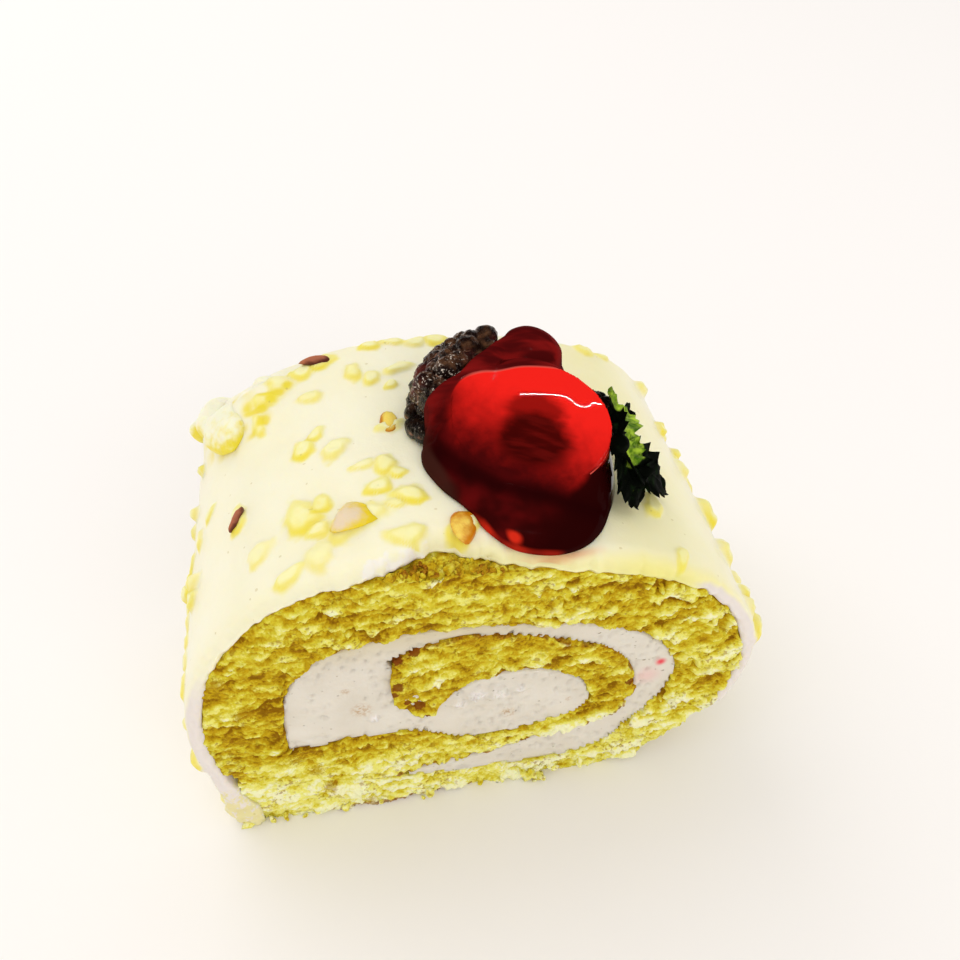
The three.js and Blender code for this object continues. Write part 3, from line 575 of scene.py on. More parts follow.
sponge_finish = Finish("sponge crumb")
height = sponge_finish.mark("crumb_height")
tint = sponge_finish.speckle(2.8, 3.0, stretch=(0.6, 1, 1.2))
grit = sponge_finish.speckle(0.3, 2.0, shift=0.4, roughness=0.7)
scorch = sponge_finish.speckle(3.0, 3.0, shift=0.9)
clump = sponge_finish.speckle(1.5, 2.0, stretch=(0.75, 1, 1.2), shift=0.2, roughness=0.6)
dusky = sponge_finish.speckle(4.0, 1.0, shift=1.3).rise(0.42, 0.6)
cells = sponge_finish.add("ShaderNodeTexVoronoi", {}, {
    "Vector": sponge_finish.place, "Scale": 1 / (0.5 * MM)}, "Distance")
# Painted light and shade from ochre hollows to pale edges: the relief's lightness, made lighter on raised
# clumps and grit and darker away from the cells' middles, with soft patches of tone.
lift = height * 0.8 + 0.08 + (tint - 0.5) * 0.9 + (clump - 0.5) * 0.85
lift = lift + (grit - 0.5) * 0.34 - (cells - 0.4) * 0.12 + sponge_finish.mark("pale")
at_front = 1 - sponge_finish.axis("Y").rise(-24 * MM, -22 * MM)
flake = near(sponge_finish, PALE_FLAKES, 0.7) * at_front
lift = (lift + flake * 0.3).limited()
colour = sponge_finish.blend((146, 102, 8), (199, 164, 22), lift.rise(0.06, 0.34))
colour = sponge_finish.blend(colour, (221, 205, 56), lift.rise(0.32, 0.56))
colour = sponge_finish.blend(colour, (241, 235, 122), lift.rise(0.54, 0.78))
colour = sponge_finish.blend(colour, (250, 248, 200), lift.rise(0.78, 1.02))
# Dark flecks, painted shade in the gaps between crumbs, brown crust on the sheet's faces, which the crumb's
# hollows take more of as painted shade, and rusty and burnt spots on the front cut.
fleck = sponge_finish.speckle(0.7, 1.0, stretch=(0.8, 1, 1.2), shift=2.1, roughness=0.6).rise(0.54, 0.66)
fleck = fleck * dusky
colour = sponge_finish.blend(colour, (160, 112, 18), fleck * 0.6)
brown = (sponge_finish.mark("crust") * 0.9 + (1 - height) * 0.4).rise(0.5, 0.85) * scorch.rise(0.42, 0.56)
crust_colour = sponge_finish.blend((108, 58, 8), (176, 112, 24), grit.rise(0.35, 0.65))
colour = sponge_finish.blend(colour, crust_colour, brown * 0.85)
patchy = (grit - 0.5) * 2.0 + (tint - 0.5) * 2.4
rust_spot = near(sponge_finish, RUSTY_SPOTS, 1.0) * at_front
rusty = (rust_spot * 1.2 - patchy).rise(0.3, 1.1) * rust_spot.rise(0.0, 0.4)
colour = sponge_finish.blend(colour, (164, 116, 10), rusty * 0.5)
burnt_spot = near(sponge_finish, BROWN_SPOTS, 1.0) * at_front
burnt = (burnt_spot * 2.0 - patchy * 0.8).rise(0.3, 0.9) * burnt_spot.rise(0.0, 0.3)
colour = sponge_finish.blend(colour, (126, 60, 14), burnt * 0.9)
relief = sponge_finish.bump(grit * 0.9 - cells * 0.4 + clump * 0.8 - fleck * 0.4, 0.2)
sponge_material = sponge_finish.close(
    base_color=colour, roughness=0.95, normal=relief, specular_ior_level=0.1,
    subsurface_weight=0.15, subsurface_radius=(1.0, 0.7, 0.25), subsurface_scale=0.0006)
for crumbly in (outer_turn, inner_turn, loose_crumbs, top_crumbs):
    crumbly.data.materials.append(sponge_material)
    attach(crumbly, "root")
    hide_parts("sponge")

# ---- the cream ----
# Whipped cream that fills all the room between the turns. The knife drew it smooth, with small bubbles and
# curls in it, specks of browned crumb, and a pink stain where a berry lay.

CREAM_GRAIN = 0.5
CREAM_SWELL = 0.34  # how far it is pressed into the sponge on both sides
# Curls, specks and stains on the front cut: x, z and radius.
CREAM_CURLS = [(-0.4, 27.0, 2.2), (3.0, 26.8, 1.8), (-3.4, 25.6, 1.6), (6.3, 27.0, 1.2), (-16.8, 25.6, 1.1)]
TAN_SPECKS = [(-18.6, 27.9, 2.4), (4.5, 20.6, 1.9), (-20.5, 33.5, 1.0), (14.5, 22.0, 0.8)]
RED_STAIN = [(29.4, 28.2, 1.3)]
PINK_STAIN = [(27.4, 25.0, 3.4)]

solid_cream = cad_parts["cream_filling"]
points = np.empty(len(solid_cream.data.vertices) * 3, np.float32)
solid_cream.data.vertices.foreach_get("co", points)
corners = np.empty(len(solid_cream.data.loops), np.int32)
solid_cream.data.loops.foreach_get("vertex_index", corners)
kept, number = np.unique(np.round(points.reshape(-1, 3) / MM, 3), axis=0, return_inverse=True)
triangles = number.reshape(-1)[corners].reshape(-1, 3)
whole = (triangles[:, 0] != triangles[:, 1]) & (triangles[:, 1] != triangles[:, 2]) & (
    triangles[:, 2] != triangles[:, 0])
cream = new_piece("cream", kept, triangles=triangles[whole])


def made_fine(piece):
    """Bakes a piece's modifiers into its mesh, and gives its points, in millimetres, and their normals."""
    mesh = bpy.data.meshes.new_from_object(piece.evaluated_get(bpy.context.evaluated_depsgraph_get()))
    piece.modifiers.clear()
    piece.data = mesh
    place, normal = (np.empty(len(mesh.vertices) * 3, np.float32) for _ in range(2))
    mesh.vertices.foreach_get("co", place)
    mesh.vertex_normals.foreach_get("vector", normal)
    return place.reshape(-1, 3) / MM, normal.reshape(-1, 3)


def push_out(mesh, place, normal, height):
    """Moves each point of a mesh out of its place along its normal, by its height in millimetres."""
    mesh.vertices.foreach_set("co", ((place + normal * height[:, None]) * MM).astype(np.float32).ravel())
    mesh.update()


remesh = cream.modifiers.new("even", "REMESH")
remesh.mode = "VOXEL"
remesh.voxel_size = CREAM_GRAIN * MM
remesh.use_smooth_shade = True
place, normal = made_fine(cream)
x, y, z = place.T
on_cut = np.abs(normal[:, 1]) > 0.8
waves = 0.22 * noise(x / 7, y, z / 4) + 0.07 * noise(x / 1.6, y, z / 1.1)
bubbles = np.clip(0.3 - grains(x, z, 1.9, 120)[0], 0, 1) * 2.2 * (noise(x / 5, 3.3, z / 5) > 0.0)
curls = sum(1.1 * np.exp(-((x - cx) ** 2 + 2.4 * (z - cz) ** 2) / size ** 2) for cx, cz, size in CREAM_CURLS)
curls = curls * (0.6 + 0.9 * noise(x / 0.9, 7.7, z / 0.7))
swell = np.where(on_cut, waves - bubbles + curls * (y < 0), CREAM_SWELL)
push_out(cream.data, place, normal, swell)

cream_finish = Finish("whipped cream")
tone = cream_finish.speckle(6.0, 2.0)
grit = cream_finish.speckle(0.5, 3.0, roughness=0.65)
colour = cream_finish.blend((212, 203, 186), (234, 228, 216), tone)
# Towards the top the cream is painted darker and yellower: painted shade under the sponge, with the crumb's
# yellow light bounced into it.
under_top = cream_finish.axis("Z").rise(38 * MM, 46 * MM)
colour = cream_finish.blend(colour, (206, 190, 142), under_top * 0.6)
# Small pits, painted dark as the shade inside bubbles.
pits = cream_finish.speckle(0.75, 1.0, stretch=(0.8, 1, 1.2), shift=0.7).rise(0.73, 0.78)
colour = cream_finish.blend(colour, (148, 130, 96), pits * 0.75)
front_side = 1 - cream_finish.axis("Y").rise(0, 1 * MM)
tan = near(cream_finish, TAN_SPECKS, 0.9) * grit.rise(0.42, 0.6) * front_side
colour = cream_finish.blend(colour, (190, 150, 100), tan * 0.8)
pink = near(cream_finish, PINK_STAIN, 1.0) * 0.5 * front_side
colour = cream_finish.blend(colour, (236, 178, 176), pink)
red = near(cream_finish, RED_STAIN, 0.9) * front_side
colour = cream_finish.blend(colour, (232, 70, 84), red)
curl = near(cream_finish, CREAM_CURLS, 1.0) * front_side
colour = cream_finish.blend(colour, (250, 244, 240), curl * grit.rise(0.3, 0.6))
cream_material = cream_finish.close(
    base_color=colour, roughness=0.5, specular_ior_level=0.3,
    normal=cream_finish.bump(tone * 0.6 + grit * 0.5 + grit * curl - pits, 0.18),
    subsurface_weight=0.3, subsurface_radius=(1.0, 0.8, 0.6), subsurface_scale=0.001)
cream.data.materials.clear()
cream.data.materials.append(cream_material)
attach(cream, "root")
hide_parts("cream_filling")

# ---- the icing ----
# A thin coat of white icing with a pale yellow skin, poured over the top and both sides of the roll. The
# knife has dragged its front edge, and a patch in the middle came off with a bit of crust. It swells up
# round every almond.

CLEARANCE = 0.3
ICING = 2.1
WAVE_HEIGHT, WAVE_ROUND, WAVE_ALONG = 0.3, 11.0, 16.0
RIGHT_END = 14.0  # how high the coat ends at the right
FOOT, FOOT_START = 0.7, 19.0  # how high it ends at the left, and where it leaves the sponge to get there
TORN_WIDTH, TORN_DEPTH = 15.0, 4.5
ICING_GRAIN = 0.38
HUB = 28.0  # the height of the roll's middle, from which the almonds' angles are taken
LOW_RIGHT = 20.0  # the angle under which almonds stand out more
GLAZE_MIDDLE = (10.0, -6.0)
JUICE_REACH = 20.1  # how far from there the glaze's painted red glow lies on the icing

run = np.arange(0, FOOT_SHARE, 0.0004) * sheet_run[-1]
sx, sz, _, inward = on_sheet(run)
covered = np.where(sx > 0, sz > RIGHT_END, sz > FOOT_START)
cover = np.hstack([np.stack([sx, sz], -1), -inward])[covered]
foot = np.array([SHEET[0, 0], FOOT, -1.0, 0.0])
cover = np.vstack([cover, cover[-1] + (foot - cover[-1]) * np.linspace(0, 1, 60)[1:, None]])
cover_run = np.r_[0, np.cumsum(np.hypot(*np.diff(cover[:, :2], axis=0).T))]


def on_cover(where):
    """The place on the sponge under the icing at a run round the roll from the right, and the way out."""
    here = np.stack([np.interp(where, cover_run, cover[:, k]) for k in range(4)], -1)
    return here[..., :2], here[..., 2:] / np.hypot(here[..., 2], here[..., 3])[..., None]


def wave(x, y, z):
    """How much thicker the icing is at a place than it is on the whole."""
    return WAVE_HEIGHT * noise(x / WAVE_ROUND, y / WAVE_ALONG, z / WAVE_ROUND + 4)


top_side = cover[:, 1] > 30
top_x, top_z, top_fall = cover[top_side][::-1, 0], cover[top_side][::-1, 1], cover[top_side][::-1, 3]


def icing_top(x, y):
    """The height of the icing over a place on the slice's top."""
    z = np.interp(x, top_x, top_z)
    return z + (CLEARANCE + ICING + wave(x, y, z)) / np.maximum(np.interp(x, top_x, top_fall), 0.5)


# Chopped almonds: angle round the roll, place along it, length, turn on the icing and kind. Each is a
# swelling of the coat, and all kinds but PLAIN have chips of their own besides.
PLAIN, SKIN, AMBER, BLUSH, LUMP = range(5)
ALMONDS = [
    (152, 21.5, 8, 20, LUMP), (148.5, 18.5, 10, 60, LUMP), (144, 15, 9.4, 30, LUMP),
    (140.5, 12, 7.4, 50, LUMP), (137.5, 16, 6.4, 20, LUMP), (133.5, 18.5, 5.4, 20, LUMP),
    (136, 9.4, 3.8, 80, PLAIN), (134, 14.3, 4.4, 20, PLAIN), (131, 17.9, 5, 60, PLAIN),
    (126, 20.4, 5.2, 60, PLAIN), (122, 22.3, 4.8, 0, PLAIN), (121.6, 21.6, 4.4, 0, SKIN),
    (125, 13.2, 4.8, 0, PLAIN), (114, 17.1, 4.6, 75, PLAIN), (109, 14.8, 4, 80, PLAIN),
    (108, 24.4, 4, 10, PLAIN), (101, 25, 4.2, 0, PLAIN), (94, 24.7, 4, 20, PLAIN),
    (87, 25.6, 5.2, 20, PLAIN), (35, 28.6, 5, 0, PLAIN), (29, 29, 3.4, 0, PLAIN), (14, 29, 4.6, 0, PLAIN),
    (101, 17.1, 5, 30, PLAIN), (104, 12.6, 3, 60, PLAIN), (106, 2.1, 4.4, 25, PLAIN),
    (106, 2.0, 3.8, 25, AMBER), (127, 0.6, 5, 60, PLAIN), (124, 3.4, 3.6, 50, PLAIN),
    (120, -1.3, 5, 30, PLAIN), (114, -6.2, 3.8, 10, PLAIN), (109, -6.8, 4.6, 60, PLAIN),
    (106, -8.6, 2.8, 0, PLAIN), (111, -11.3, 4.8, 20, PLAIN), (108, -15.2, 2.8, 0, PLAIN),
    (104, -13.6, 5, 5, PLAIN), (128, -13.8, 6.6, 85, PLAIN), (124, -12.4, 4.4, 60, PLAIN),
    (125, -17.1, 4.4, 30, PLAIN), (125, -22, 5.6, 80, PLAIN), (116.8, -17.4, 9.6, 24, BLUSH),
    (142.5, -7.4, 4.8, 75, PLAIN), (142, -8.4, 4.2, 58, SKIN), (137, -17.5, 4.6, 80, PLAIN),
    (131, -24, 4.4, 40, PLAIN), (106, -21.4, 5.6, 20, PLAIN), (91.4, -20.6, 6.2, 60, AMBER),
    (35, -13.2, 5, 70, PLAIN), (33, -23.6, 4.2, 70, PLAIN), (153, 0.4, 3.4, 30, PLAIN),
    (158, -1.5, 4, 80, PLAIN), (161, -9.8, 4, 60, PLAIN), (170, -18.2, 4.4, 80, PLAIN),
    (169, -23.4, 4, 20, PLAIN), (8, 21, 3.8, 20, PLAIN), (16, 14.6, 3.4, 80, PLAIN),
    (10, 12, 3.8, 60, PLAIN), (14, 4.8, 4.2, 70, PLAIN), (8, -2.7, 6, 80, PLAIN), (12, -14, 5, 80, PLAIN),
    (7, -20.1, 4.6, 75, PLAIN), (8, -23.4, 4, 30, PLAIN), (1, -23, 6.6, 80, PLAIN)]
SIDE_ALMONDS = 26
draw = np.random.default_rng(7)
for n in range(SIDE_ALMONDS):
    low, high = ((-12, 4), (164, 194))[n % 2]  # low on the right side, then low on the left
    ALMONDS.append((draw.uniform(low, high), -23 + 42 * (n + draw.uniform()) / SIDE_ALMONDS,
                    draw.uniform(2.6, 5), draw.uniform(0, 180), PLAIN))


def seat(angle, along):
    """The place on the icing at an angle round the hub, and the way out of the icing there."""
    ray = np.radians(angle)
    off = cover[:, 0] * np.sin(ray) - (cover[:, 1] - HUB) * np.cos(ray)
    ahead = cover[:, 0] * np.cos(ray) + (cover[:, 1] - HUB) * np.sin(ray) > 0
    x, z, out_x, out_z = cover[np.argmin(np.where(ahead, np.abs(off), np.inf))]
    out = np.array([out_x, 0.0, out_z]) / np.hypot(out_x, out_z)
    return np.array([x, along, z]) + out * (CLEARANCE + ICING), out


# The coat goes round the roll from its right end to its foot at the left. Its outline runs over the top from
# front to back, down the back edge, forward underneath and up the front edge.
columns = int(cover_run[-1] / ICING_GRAIN)
outer_rows, inner_rows, edge_rows = 150, 10, 6
runs = np.linspace(0, cover_run[-1], columns)
path, out = on_cover(runs)
px, pz = path[:, :1], path[:, 1:]
on_top = np.clip((pz - 34) / 14, 0, 1)
low_left = np.clip((14 - pz) / 8, 0, 1) * (px < 0)

# The front edge has a bite in the middle, is ragged all along, and is lumpy low on the left.
near_tear = 1 - np.abs(px - TORN_X) / (TORN_WIDTH * 0.72) + 0.12 * noise(px / 2, 3, 1)
tear = TORN_DEPTH * np.clip(near_tear, 0, 1) ** 1.1 * (pz > 40)
ragged = 0.3 * noise(runs / 4, 1.5, 0.5) + 0.25 * noise(runs / 1.2, 2.5, 0.5)
ragged = ragged + 0.12 * noise(runs / 0.8, 3.5, 0.5)
ragged = ragged[:, None] * (1 + 1.2 * on_top) + 0.5 * on_top
torn_edge = 0.7 * noise(runs / 0.9, 4.5, 0.5) + 0.5 * noise(runs / 2.3, 5.5, 0.5)
ragged = ragged + np.clip(tear, 0, 1) * torn_edge[:, None]
foot_lumps = 0.3 + 0.5 * noise(runs / 1.5, 16.5, 0.5) + 0.4 * noise(runs / 0.7, 19.5, 0.5)
front_edge = SLICE_FRONT + 0.1 + tear + ragged - low_left * foot_lumps[:, None]
back_edge = back_cut(px) - 0.25 - 0.25 * noise(runs / 2.2, 6.5, 0.5)[:, None]
spread = np.linspace(0, 1, outer_rows)
along = np.r_[spread, np.ones(edge_rows), np.linspace(1, 0, inner_rows), np.zeros(edge_rows)]
between = (np.arange(edge_rows) + 1.0) / (edge_rows + 1)
share_out = np.r_[np.ones(outer_rows), 1 - between, np.zeros(inner_rows), between]
py = front_edge + (back_edge - front_edge) * along[None, :]
surface = CLEARANCE + ICING + wave(px, py, pz)
thick_foot = np.clip((13 - pz) / 8, 0, 1) * (px < 0) * np.clip(1 - (py - SLICE_FRONT) / 5, 0, 1)
surface = surface + thick_foot * (0.5 + 0.9 * noise(runs[:, None] / 1.8, py / 2.0, 15.5))
skin_point = np.stack([px + out[:, :1] * surface, py, pz + out[:, 1:] * surface], -1)

# Each almond raises the icing in an uneven oval, and marks where it shows through: its stain all over, its
# pale crest, and its flank that faces the front, painted deep yellow as shade. A lump of the lip raises it
# smoothly, and its side to the front and right gets the same painted shade.
swell = 0.07 * noise(runs[:, None] / 3.3, py / 3.3, 8.5) + 0.05 * noise(runs[:, None] / 1.3, py / 1.3, 9.5)
nuts, stain, crest, flank = (np.zeros_like(py) for _ in range(4))
for n, (angle, where, length, turn, kind) in enumerate(ALMONDS):
    middle, way_out = seat(angle, where)
    off = skin_point - middle
    if kind == LUMP:
        apart = np.linalg.norm(off, axis=-1) / length
        swell = swell + 1.5 * np.exp(-(apart / 0.62) ** 2)
        # Painted shade on the lump's side towards the front and right, away from the key lamp.
        inboard = np.clip(0.2 - off[..., 1] / length + off[..., 0] / length, 0, 1)
        patchy = noise(off[..., 0] / 1.8, off[..., 1] / 1.8, off[..., 2] / 1.8 + n)
        patchy = np.clip(0.55 + 1.2 * patchy, 0, 1)
        flank = np.maximum(flank, patchy * inboard * np.exp(-((apart - 0.6) / 0.15) ** 2))
        continue
    draw = np.random.default_rng(500 + n)
    level_off, deep_off = off @ np.cross([0, 1, 0], way_out), off[..., 1]
    c, s = np.cos(np.radians(turn)), np.sin(np.radians(turn))
    long_share = (level_off * c + deep_off * s) / (length * 0.53)
    wide_share = (deep_off * c - level_off * s) / (length * 0.53 * draw.uniform(0.55, 0.8))
    facing = np.arctan2(wide_share, long_share)
    oval = 1 + 0.12 * np.cos(2 * facing + draw.uniform(0, 6))
    oval = oval + 0.08 * np.cos(3 * facing + draw.uniform(0, 6))
    oval = oval + 0.2 * noise(off[..., 0] / 1.1, off[..., 1] / 1.1, off[..., 2] / 1.1 + n)
    far = np.hypot(long_share, wide_share) * oval
    inner = np.clip((1.2 - far) / 0.75, 0, 1)
    prouder = 0.7 if kind in (AMBER, BLUSH) else 2.1 if angle < LOW_RIGHT else 1.0
    high = (0.22 + 0.1 * length) * prouder
    bumpy = 1 + 0.3 * noise(off[..., 0] / 1.3, off[..., 1] / 1.3, off[..., 2] / 1.3 + 9 * n)
    nuts = np.maximum(nuts, high * inner * inner * (3 - 2 * inner) * bumpy)
    depth = draw.uniform(0.55, 1.0)
    stain = np.maximum(stain, depth * np.clip((1.35 - far) / 0.6, 0, 1))
    crest = np.maximum(crest, draw.uniform(0.3, 1.0) * np.clip((0.75 - far) / 0.4, 0, 1))
    # Painted shade on the flank that faces the front.
    nearer = np.clip(0.45 - 0.9 * deep_off / length, 0, 1)
    flank = np.maximum(flank, depth * nearer * np.exp(-((far - 0.8) / 0.3) ** 2))
swell = swell + nuts

# The coat thins to rounded edges, droops over the front of the top, flakes round the bite, and reaches down
# under itself low on the left.
front_gap = py - front_edge
edge_gap = np.minimum(front_gap, back_edge - py)
end_gap = np.minimum(runs, (cover_run[-1] - runs) * 2 + 0.6)[:, None]
lowered = 0.7 * (1 - np.sqrt(1 - (1 - np.clip(edge_gap / 1.2, 0, 1)) ** 2))
lowered = lowered + 1.6 * (1 - np.sqrt(1 - (1 - np.clip(end_gap / 2.4, 0, 1)) ** 2))
droop = (0.9 + 0.35 * noise(runs / 3, 7.5, 0.5)[:, None]) * on_top * np.clip(1 - front_gap / 3.4, 0, 1) ** 2
top = surface + swell - lowered - droop
flaking = np.clip(tear / 1.5, 0, 1) * np.clip(1 - front_gap / 2.6, 0, 1)
top = top + flaking * (0.5 * noise(px / 1.5, py / 1.5, 17.5) + 0.3 * noise(px / 0.7, py / 0.7, 18.5))
foot_under = (2.4 + 1.4 * noise(runs / 1.9, 18.5, 0.5))[:, None]
under = 0.06 - 0.25 * np.clip(1 - front_gap / 1.5, 0, 1)
under = under - low_left * np.clip(1 - front_gap / 4, 0, 1) * foot_under
bulge = 0.35 * np.sin(np.pi * share_out) * ((along == 0) | (along == 1)) * np.where(along == 0, -1, 1)
crumple = 0.3 * noise(runs[:, None] / 1.1, share_out * 3, 12.5) * (share_out > 0) * (share_out < 1)
crumple = crumple * (1 + 1.6 * low_left)
offset = under + (top - under) * share_out[None, :]
rings = np.stack([px + out[:, :1] * offset, py + bulge[None, :] + crumple,
                  np.maximum(pz + out[:, 1:] * offset, 0.3)], -1)

# What the finish reads: the cut edges, white icing at the torn patch, yellow along the top's front edge and
# its right, the glaze's painted red glow on the icing in front of it, and crumbs smeared low on the left.
cut = np.where(share_out[None, :] < 1, 1.0, np.clip(1 - edge_gap / 0.8, 0, 1))
cut = cut * (1 - 0.92 * on_top * np.clip((36 - px) / 6, 0, 1))
white = np.clip((tear - 0.1) / 0.5, 0, 1) * np.clip(1.3 - np.abs(px + 12) / 7, 0, 1)
white = white * np.clip(0.7 + 1.2 * noise(runs[:, None] / 1.4, py / 1.0, 14.5), 0, 1)
white = white * np.clip((2.2 - front_gap) / 1.6, 0, 1)
yellow = np.clip(1 - front_gap / 2.5, 0, 1) * np.clip((px + 14) / 20, 0.15, 1)
yellow = on_top * (yellow + 0.6 * np.clip((px - 16) / 8, 0, 1))
outside = share_out[None, :] == 1
glaze_x, glaze_y = px - GLAZE_MIDDLE[0], py - GLAZE_MIDDLE[1]
round_glaze = np.degrees(np.arctan2(-glaze_y, glaze_x))
juice = np.exp(-((np.hypot(glaze_x, glaze_y) - JUICE_REACH) / 0.6) ** 2)
juice = juice * (pz > 40) * np.clip(1.4 - np.abs(round_glaze - 84) / 14, 0, 1)
icing = carried("icing_coat", rings, cut=cut, white=white, stain=stain * outside, crest=crest * outside,
                flank=flank * outside, yellow=yellow, juice=juice * outside,
                crumby=low_left * np.clip(1.2 - front_gap / 3, 0, 1))

icing_finish = Finish("icing")
tone = icing_finish.speckle(9.0, 2.0)
streak = icing_finish.speckle(2.2, 2.0, stretch=(1, 0.4, 1))
grit = icing_finish.speckle(0.5, 2.0)
speck = icing_finish.speckle(0.9, 0.0, shift=0.3).rise(0.83, 0.86)
colour = icing_finish.blend((247, 240, 204), (250, 245, 222), tone)
pasty = icing_finish.speckle(1.6, 2.0, shift=0.8)
stained = (icing_finish.mark("stain") * 1.1 - (pasty - 0.5) * 0.5).rise(0.15, 0.95)
colour = icing_finish.blend(colour, (246, 235, 112), stained * 0.7)
crested = (icing_finish.mark("crest") - (pasty - 0.5)).rise(0.1, 0.8)
colour = icing_finish.blend(colour, (250, 244, 190), crested * 0.85)
# Painted shade in deep yellow on the almonds' front flanks and on the lip.
colour = icing_finish.blend(colour, (240, 220, 16), icing_finish.mark("flank").rise(0.1, 0.85) * 0.85)
colour = icing_finish.blend(colour, (240, 229, 104), (icing_finish.mark("yellow") * 0.45).limited())
colour = icing_finish.blend(colour, (232, 223, 216), icing_finish.mark("cut").rise(0.3, 0.9))
# Painted light: a red-orange glow from the glaze on the icing by its front edge.
colour = icing_finish.blend(colour, (238, 150, 92), icing_finish.mark("juice") * 0.6)
crumby = icing_finish.mark("crumby")
crumby = (crumby * 0.9 - (pasty - 0.5) * 2.4 - (grit - 0.5) * 2.4).rise(0.3, 0.8) * crumby.rise(0.1, 0.4)
colour = icing_finish.blend(colour, (232, 221, 148), crumby * 0.8)
torn_white = (icing_finish.mark("white") - (pasty - 0.5) * 1.2).rise(0.3, 0.7)
colour = icing_finish.blend(colour, (248, 242, 232), torn_white * 0.9)
colour = icing_finish.blend(colour, (190, 170, 90), speck * 0.35)
icing_material = icing_finish.close(
    base_color=colour, roughness=icing_finish.mark("cut") * 0.3 + 0.34, specular_ior_level=0.35,
    normal=icing_finish.bump(streak * 0.6 + grit * 0.25, 0.12),
    subsurface_weight=0.35, subsurface_radius=(1.0, 0.85, 0.5), subsurface_scale=0.0015)
icing.data.materials.append(icing_material)
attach(icing, "root")
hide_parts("icing")

# ---- the almonds ----
# Blanched almonds chopped by hand and strewn on while the icing was wet. Most lie under a film of it. Two
# soaked amber and a large pale one stand out, two show a strip of brown skin, and at the back on the left
# they have set in a thick lip.

# Each kind of chip that stands out: its width and thickness as shares of its length, how far its middle lies
# outside the icing, how sharp its edges are, and how much bigger its ball is than the chip.
CHIPS = {SKIN: (0.28, 0.34, 0.6, 7, 1.1), AMBER: (0.85, 0.26, 0.4, 4, 1.1),
         BLUSH: (0.6, 0.24, 0.75, 4, 1.1), LUMP: (0.9, 0.8, 0.9, 2.2, 1.5)}
LIP_GRAIN = 0.45


def almonds(name, kind, material):
    """All the chips of one kind in one mesh, each set into the icing and turned on it."""
    slim, thick, stands, sharp, fuller = CHIPS[kind]
    bodies, rise = [], []
    for n, (angle, where, length, turn, its_kind) in enumerate(ALMONDS):
        if its_kind != kind:
            continue
        draw = np.random.default_rng(500 + n)
        middle, out = seat(angle, where)
        size = np.array([length, length * slim * draw.uniform(0.9, 1.1), length * thick]) / 2
        body = chip(300 + n, sharp) * size * fuller
        c, s = np.cos(np.radians(turn)), np.sin(np.radians(turn))
        body = body @ np.array([[c, s, 0], [-s, c, 0], [0, 0, 1]])
        tilt = draw.normal(size=2) * 0.1
        body[:, 2] += body[:, 0] * tilt[0] + body[:, 1] * tilt[1]
        basis = np.stack([np.cross([0, 1, 0], out), [0, 1, 0], out])
        bodies.append(middle + out * stands + body @ basis)
        rise.append(body[:, 2] / size[2])
    piece = new_lumps(name, bodies, rise=rise)
    piece.data.materials.append(material)
    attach(piece, "root")
    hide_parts("icing")
    return piece


def almond_finish(name, deep, pale):
    """A colour that is deeper near the icing and paler on top, in soft patches: partly the almond's own
    colour, partly painted light on top and painted shade below.
    """
    finish = Finish(name)
    tone = finish.speckle(1.4, 3.0)
    colour = finish.blend(deep, pale, (finish.mark("rise") + (tone - 0.5) * 1.3).rise(0.15, 1.05))
    return finish.close(base_color=colour, roughness=0.35, specular_ior_level=0.4,
                        normal=finish.bump(tone + finish.speckle(0.4, 2.0) * 0.4, 0.15),
                        subsurface_weight=0.4, subsurface_radius=(1.0, 0.8, 0.3), subsurface_scale=0.0012)


almonds("almond_skins", SKIN, almond_finish("almond skin", (98, 44, 30), (178, 108, 78)))
almonds("almond_amber", AMBER, almond_finish("amber almond", (208, 128, 2), (250, 216, 96)))
almonds("almond_large", BLUSH, almond_finish("large almond", (240, 210, 30), (234, 214, 182)))
lip = almonds("icing_lip", LUMP, almond_finish("icing lip", (240, 222, 60), (250, 246, 216)))
melt = lip.modifiers.new("melt", "REMESH")
melt.mode = "VOXEL"
melt.voxel_size = LIP_GRAIN * MM
melt.use_smooth_shade = True
even = lip.modifiers.new("even", "SMOOTH")
even.iterations = 12
place, normal = made_fine(lip)
rugged = 0.4 * noise(*(place.T / 3.4)) + 0.1 * noise(*(place.T / 1.2 + 30))
push_out(lip.data, place, normal, rugged)
# The lip is painted paler where it faces up, back and to the left, towards the key lamp, and on its knobs,
# and deeper yellow as painted shade where it faces away.
mark_points(lip.data, "rise", 0.35 + normal @ np.array([-0.3, 0.3, 0.65]) + 0.5 * rugged)

# ---- the strawberry ----
# Half a strawberry, its cut face up and tipped forward: red skin with small straw-coloured pips in dimples.

TIP = np.array([0.8, -4.0, 66.3])
STALK_END = np.array([22.6, -12.0, 63.3])
TIPPED = 27.0  # how far the cut face is tipped, in degrees
HALF_WIDTH, FRUIT_DEPTH = 9.2, 9.0
CROWN = 0.5  # how far the cut face swells in the middle

fruit_middle = (TIP + STALK_END) / 2
half_length = np.linalg.norm(STALK_END - fruit_middle)
lengthwise = (STALK_END - fruit_middle) / half_length
level_way = np.cross([0, 0, 1], lengthwise)
level_way /= np.linalg.norm(level_way)
crosswise = (level_way * np.cos(np.radians(TIPPED))
             + np.cross(lengthwise, level_way) * np.sin(np.radians(TIPPED)))
face_normal = np.cross(lengthwise, crosswise)


def laid(points):
    """Lifts the points of a piece that lies on the icing out of it."""
    points[..., 2] = np.maximum(points[..., 2], icing_top(points[..., 0], points[..., 1]) + CLEARANCE)
    return points


def sphere_ways(rings, sides):
    """Directions over a ball whose poles lie on X, ring by ring, without the poles themselves."""
    polar = np.linspace(0, np.pi, rings + 2)[1:-1, None]
    turn = np.linspace(0, 2 * np.pi, sides, endpoint=False)[None, :]
    return np.stack([-np.cos(polar) * np.ones_like(turn), np.sin(polar) * np.cos(turn),
                     np.sin(polar) * np.sin(turn)], -1)


